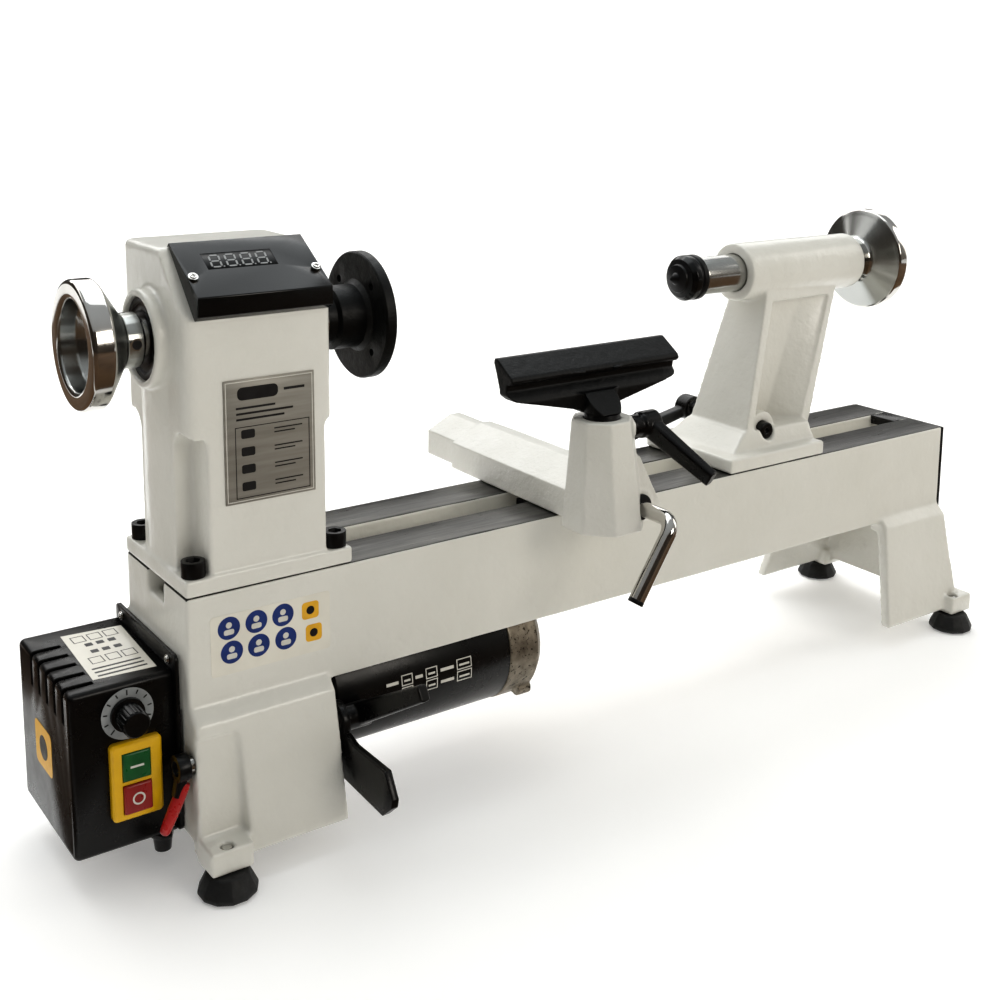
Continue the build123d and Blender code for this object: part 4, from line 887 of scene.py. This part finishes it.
# A bar on the start button and a ring on the stop button.
for node, shapes, slot_name in (
    ("start_button", [bar(-4.2, -0.7, 4.2, 0.7)], "green_plastic"),
    ("stop_button", ring_shapes(0, 0, 4.0, 1.1), "red_plastic"),
):
    low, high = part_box(node)
    middle = Vector(((low.x + high.x) / 2, low.y, (low.z + high.z) / 2))
    prints(node + "_mark", middle, X, Z, shapes, -0.05, 0.05, "print_white", node, slot_name)

# Outlined boxes and bars along the motor's shell, laid on its curve.
shell_low, shell_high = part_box("motor_shell")
axis_z = (shell_low.z + shell_high.z) / 2
shell_r = (shell_high.y - shell_low.y) / 2
boxes = []
for z0, z1 in ((-100, -92.5), (-108.5, -101)):
    for x0, x1 in ((155, 164), (174.5, 184), (200, 212.5)):
        boxes += frame_bars(x0, z0, x1, z1, 0.7)
        boxes.append(bar(x0 + 2, z0 + 2.6, x1 - 2, z0 + 4.0))
    for x0, x1 in ((143, 152.5), (166, 172), (186.5, 197.5)):
        boxes.append(bar(x0, z0 + 2.4, x1, z0 + 4.6))
marks = prints(
    "motor_marks", at(0, 0, 0), X, Z, boxes, 0, 0.05, "print_white", "motor_carriage", "black_paint"
)
ink_gap = 0.00005
ink_depth = 0.00015
for vertex in marks.data.vertices:
    lift = 0.0 if abs(vertex.co.y) < 0.00001 else ink_depth
    drop = vertex.co.z - axis_z
    vertex.co.y = -math.sqrt((shell_r + ink_gap + lift) ** 2 - drop**2)

# ---- camera ---------------------------------------------------------------
yaw = math.radians(35.19)
pitch = math.radians(9.81)
roll = math.radians(0.44)
ahead = Vector((math.sin(yaw) * math.cos(pitch), math.cos(yaw) * math.cos(pitch), -math.sin(pitch)))
level = Vector((math.cos(yaw), -math.sin(yaw), 0))
upward = level.cross(ahead)
side = math.cos(roll) * level + math.sin(roll) * upward
over = -math.sin(roll) * level + math.cos(roll) * upward
pose = Matrix((side, over, -ahead)).transposed().to_4x4()
pose.translation = Vector((-0.6196, -0.7858, 0.4967))
lens = bpy.data.cameras.new("camera")
lens.lens = 48.49
lens.sensor_width = 36
lens.shift_y = -0.2
lens.clip_start = 0.01
camera = bpy.data.objects.new("camera", lens)
camera.matrix_world = pose
bpy.context.scene.collection.objects.link(camera)
bpy.context.scene.camera = camera


# ---- studio ---------------------------------------------------------------
FLOOR_Z = -0.001
WALL_BEND_START = 2.6
WALL_BEND = 3.4
WALL_TOP = 9.0


def card(name, centre, normal, wide, tall, material):
    """A flat board that only reflections see."""
    mesh = bpy.data.meshes.new(name)
    normal = normal.normalized()
    across = (normal.cross(Z) if abs(normal.z) < 0.95 else X).normalized()
    along = normal.cross(across)
    corners = [
        centre + across * a * wide / 2 + along * b * tall / 2
        for a, b in ((-1, -1), (1, -1), (1, 1), (-1, 1))
    ]
    mesh.from_pydata(corners, [], [(0, 1, 2, 3)])
    board = add_object(name, mesh, material)
    board.visible_camera = False
    board.visible_diffuse = False
    board.visible_shadow = False
    board.visible_transmission = False


def softbox(name, place_at, aim, wide, tall, power, colour):
    light = bpy.data.lights.new(name, "AREA")
    light.shape = "RECTANGLE"
    light.size = wide
    light.size_y = tall
    light.energy = power
    light.color = colour
    lamp = bpy.data.objects.new(name, light)
    lamp.location = place_at
    lamp.rotation_euler = (aim - place_at).to_track_quat("-Z", "Y").to_euler()
    bpy.context.scene.collection.objects.link(lamp)


def sweep_wall(name, material):
    """Floor that curves up into the wall behind, in one smooth sheet."""
    line = [(-9.0, FLOOR_Z), (WALL_BEND_START, FLOOR_Z)]
    for k in range(1, 13):
        turn = math.pi / 2 * k / 12
        y = WALL_BEND_START + WALL_BEND * math.sin(turn)
        line.append((y, FLOOR_Z + WALL_BEND - WALL_BEND * math.cos(turn)))
    line.append((WALL_BEND_START + WALL_BEND, WALL_TOP))
    points = []
    for y, z in line:
        points += [(-14, y, z), (14, y, z)]
    faces = [(2 * k, 2 * k + 1, 2 * k + 3, 2 * k + 2) for k in range(len(line) - 1)]
    mesh = bpy.data.meshes.new(name)
    mesh.from_pydata(points, [], faces)
    wall = add_object(name, mesh, material)
    shade(mesh)


def glow_with_height(material):
    """The wall glows a little more the higher it goes, so it stays as pale as the floor."""
    tree = MATERIALS[material].node_tree
    shader = tree.nodes["Principled BSDF"]
    where = tree.nodes.new("ShaderNodeTexCoord")
    parts = tree.nodes.new("ShaderNodeSeparateXYZ")
    rise = tree.nodes.new("ShaderNodeMapRange")
    rise.inputs["From Min"].default_value = 0.0
    rise.inputs["From Max"].default_value = 1.6
    rise.inputs["To Min"].default_value = 0.22
    rise.inputs["To Max"].default_value = 1.3
    tree.links.new(where.outputs["Object"], parts.inputs["Vector"])
    tree.links.new(parts.outputs["Z"], rise.inputs["Value"])
    shader.inputs["Emission Color"].default_value = (1, 1, 1, 1)
    tree.links.new(rise.outputs["Result"], shader.inputs["Emission Strength"])


sweep_wall("floor", "floor")
glow_with_height("floor")
card("back_card", Vector((1.0, 3.2, 0.75)), Vector((0, -1, 0)), 11.0, 1.5, "card_grey")
card("back_left_card", Vector((-2.6, 2.2, 1.1)), Vector((0.6, -1, 0)), 3.2, 2.2, "card_dark")
card("front_card", Vector((-0.8, -3.6, 1.3)), Vector((0.1, 1, 0)), 6.5, 2.6, "card_dark")
card("left_card", Vector((-3.4, -0.8, 1.2)), Vector((1, 0, 0)), 5.0, 2.4, "card_dark")
card("floor_card", Vector((-0.4, -1.95, 0.0)), Z, 6.0, 3.64, "card_brown")
card("left_floor_card", Vector((-1.32, 0.9, 0.0)), Z, 1.76, 2.0, "card_brown")

centre = Vector((0, 0, 0.2))
softbox("top_light", Vector((0.1, 0.5, 2.3)), centre, 2.4, 1.6, 22, (0.94, 0.98, 1.0))
softbox("front_light", Vector((0.9, -3.0, 1.5)), centre, 1.4, 1.1, 27, (1.0, 0.95, 0.87))
softbox("right_light", Vector((2.4, -0.8, 1.2)), centre, 1.0, 1.6, 12, (1.0, 0.97, 0.92))
softbox("back_light", Vector((0.5, 3.0, 4.2)), Vector((0.8, 5.6, 1.0)), 5, 3, 130, (1.0, 1.0, 1.0))

world = bpy.data.worlds.new("studio")
world.use_nodes = True
sky = world.node_tree
around = sky.nodes.new("ShaderNodeTexCoord")
parts = sky.nodes.new("ShaderNodeSeparateXYZ")
bands = sky.nodes.new("ShaderNodeValToRGB")
bands.color_ramp.elements[0].position = 0.0
bands.color_ramp.elements[0].color = (0.34, 0.30, 0.25, 1)
bands.color_ramp.elements[1].position = 0.85
bands.color_ramp.elements[1].color = (0.94, 0.98, 1.0, 1)
sky.links.new(around.outputs["Generated"], parts.inputs["Vector"])
sky.links.new(parts.outputs["Z"], bands.inputs["Fac"])
sky.links.new(bands.outputs["Color"], sky.nodes["Background"].inputs["Color"])
sky.nodes["Background"].inputs["Strength"].default_value = 0.5
bpy.context.scene.world = world
bpy.context.scene.view_settings.view_transform = "Standard"
bpy.context.scene.view_settings.look = "Medium High Contrast"
bpy.context.scene.view_settings.exposure = -0.27
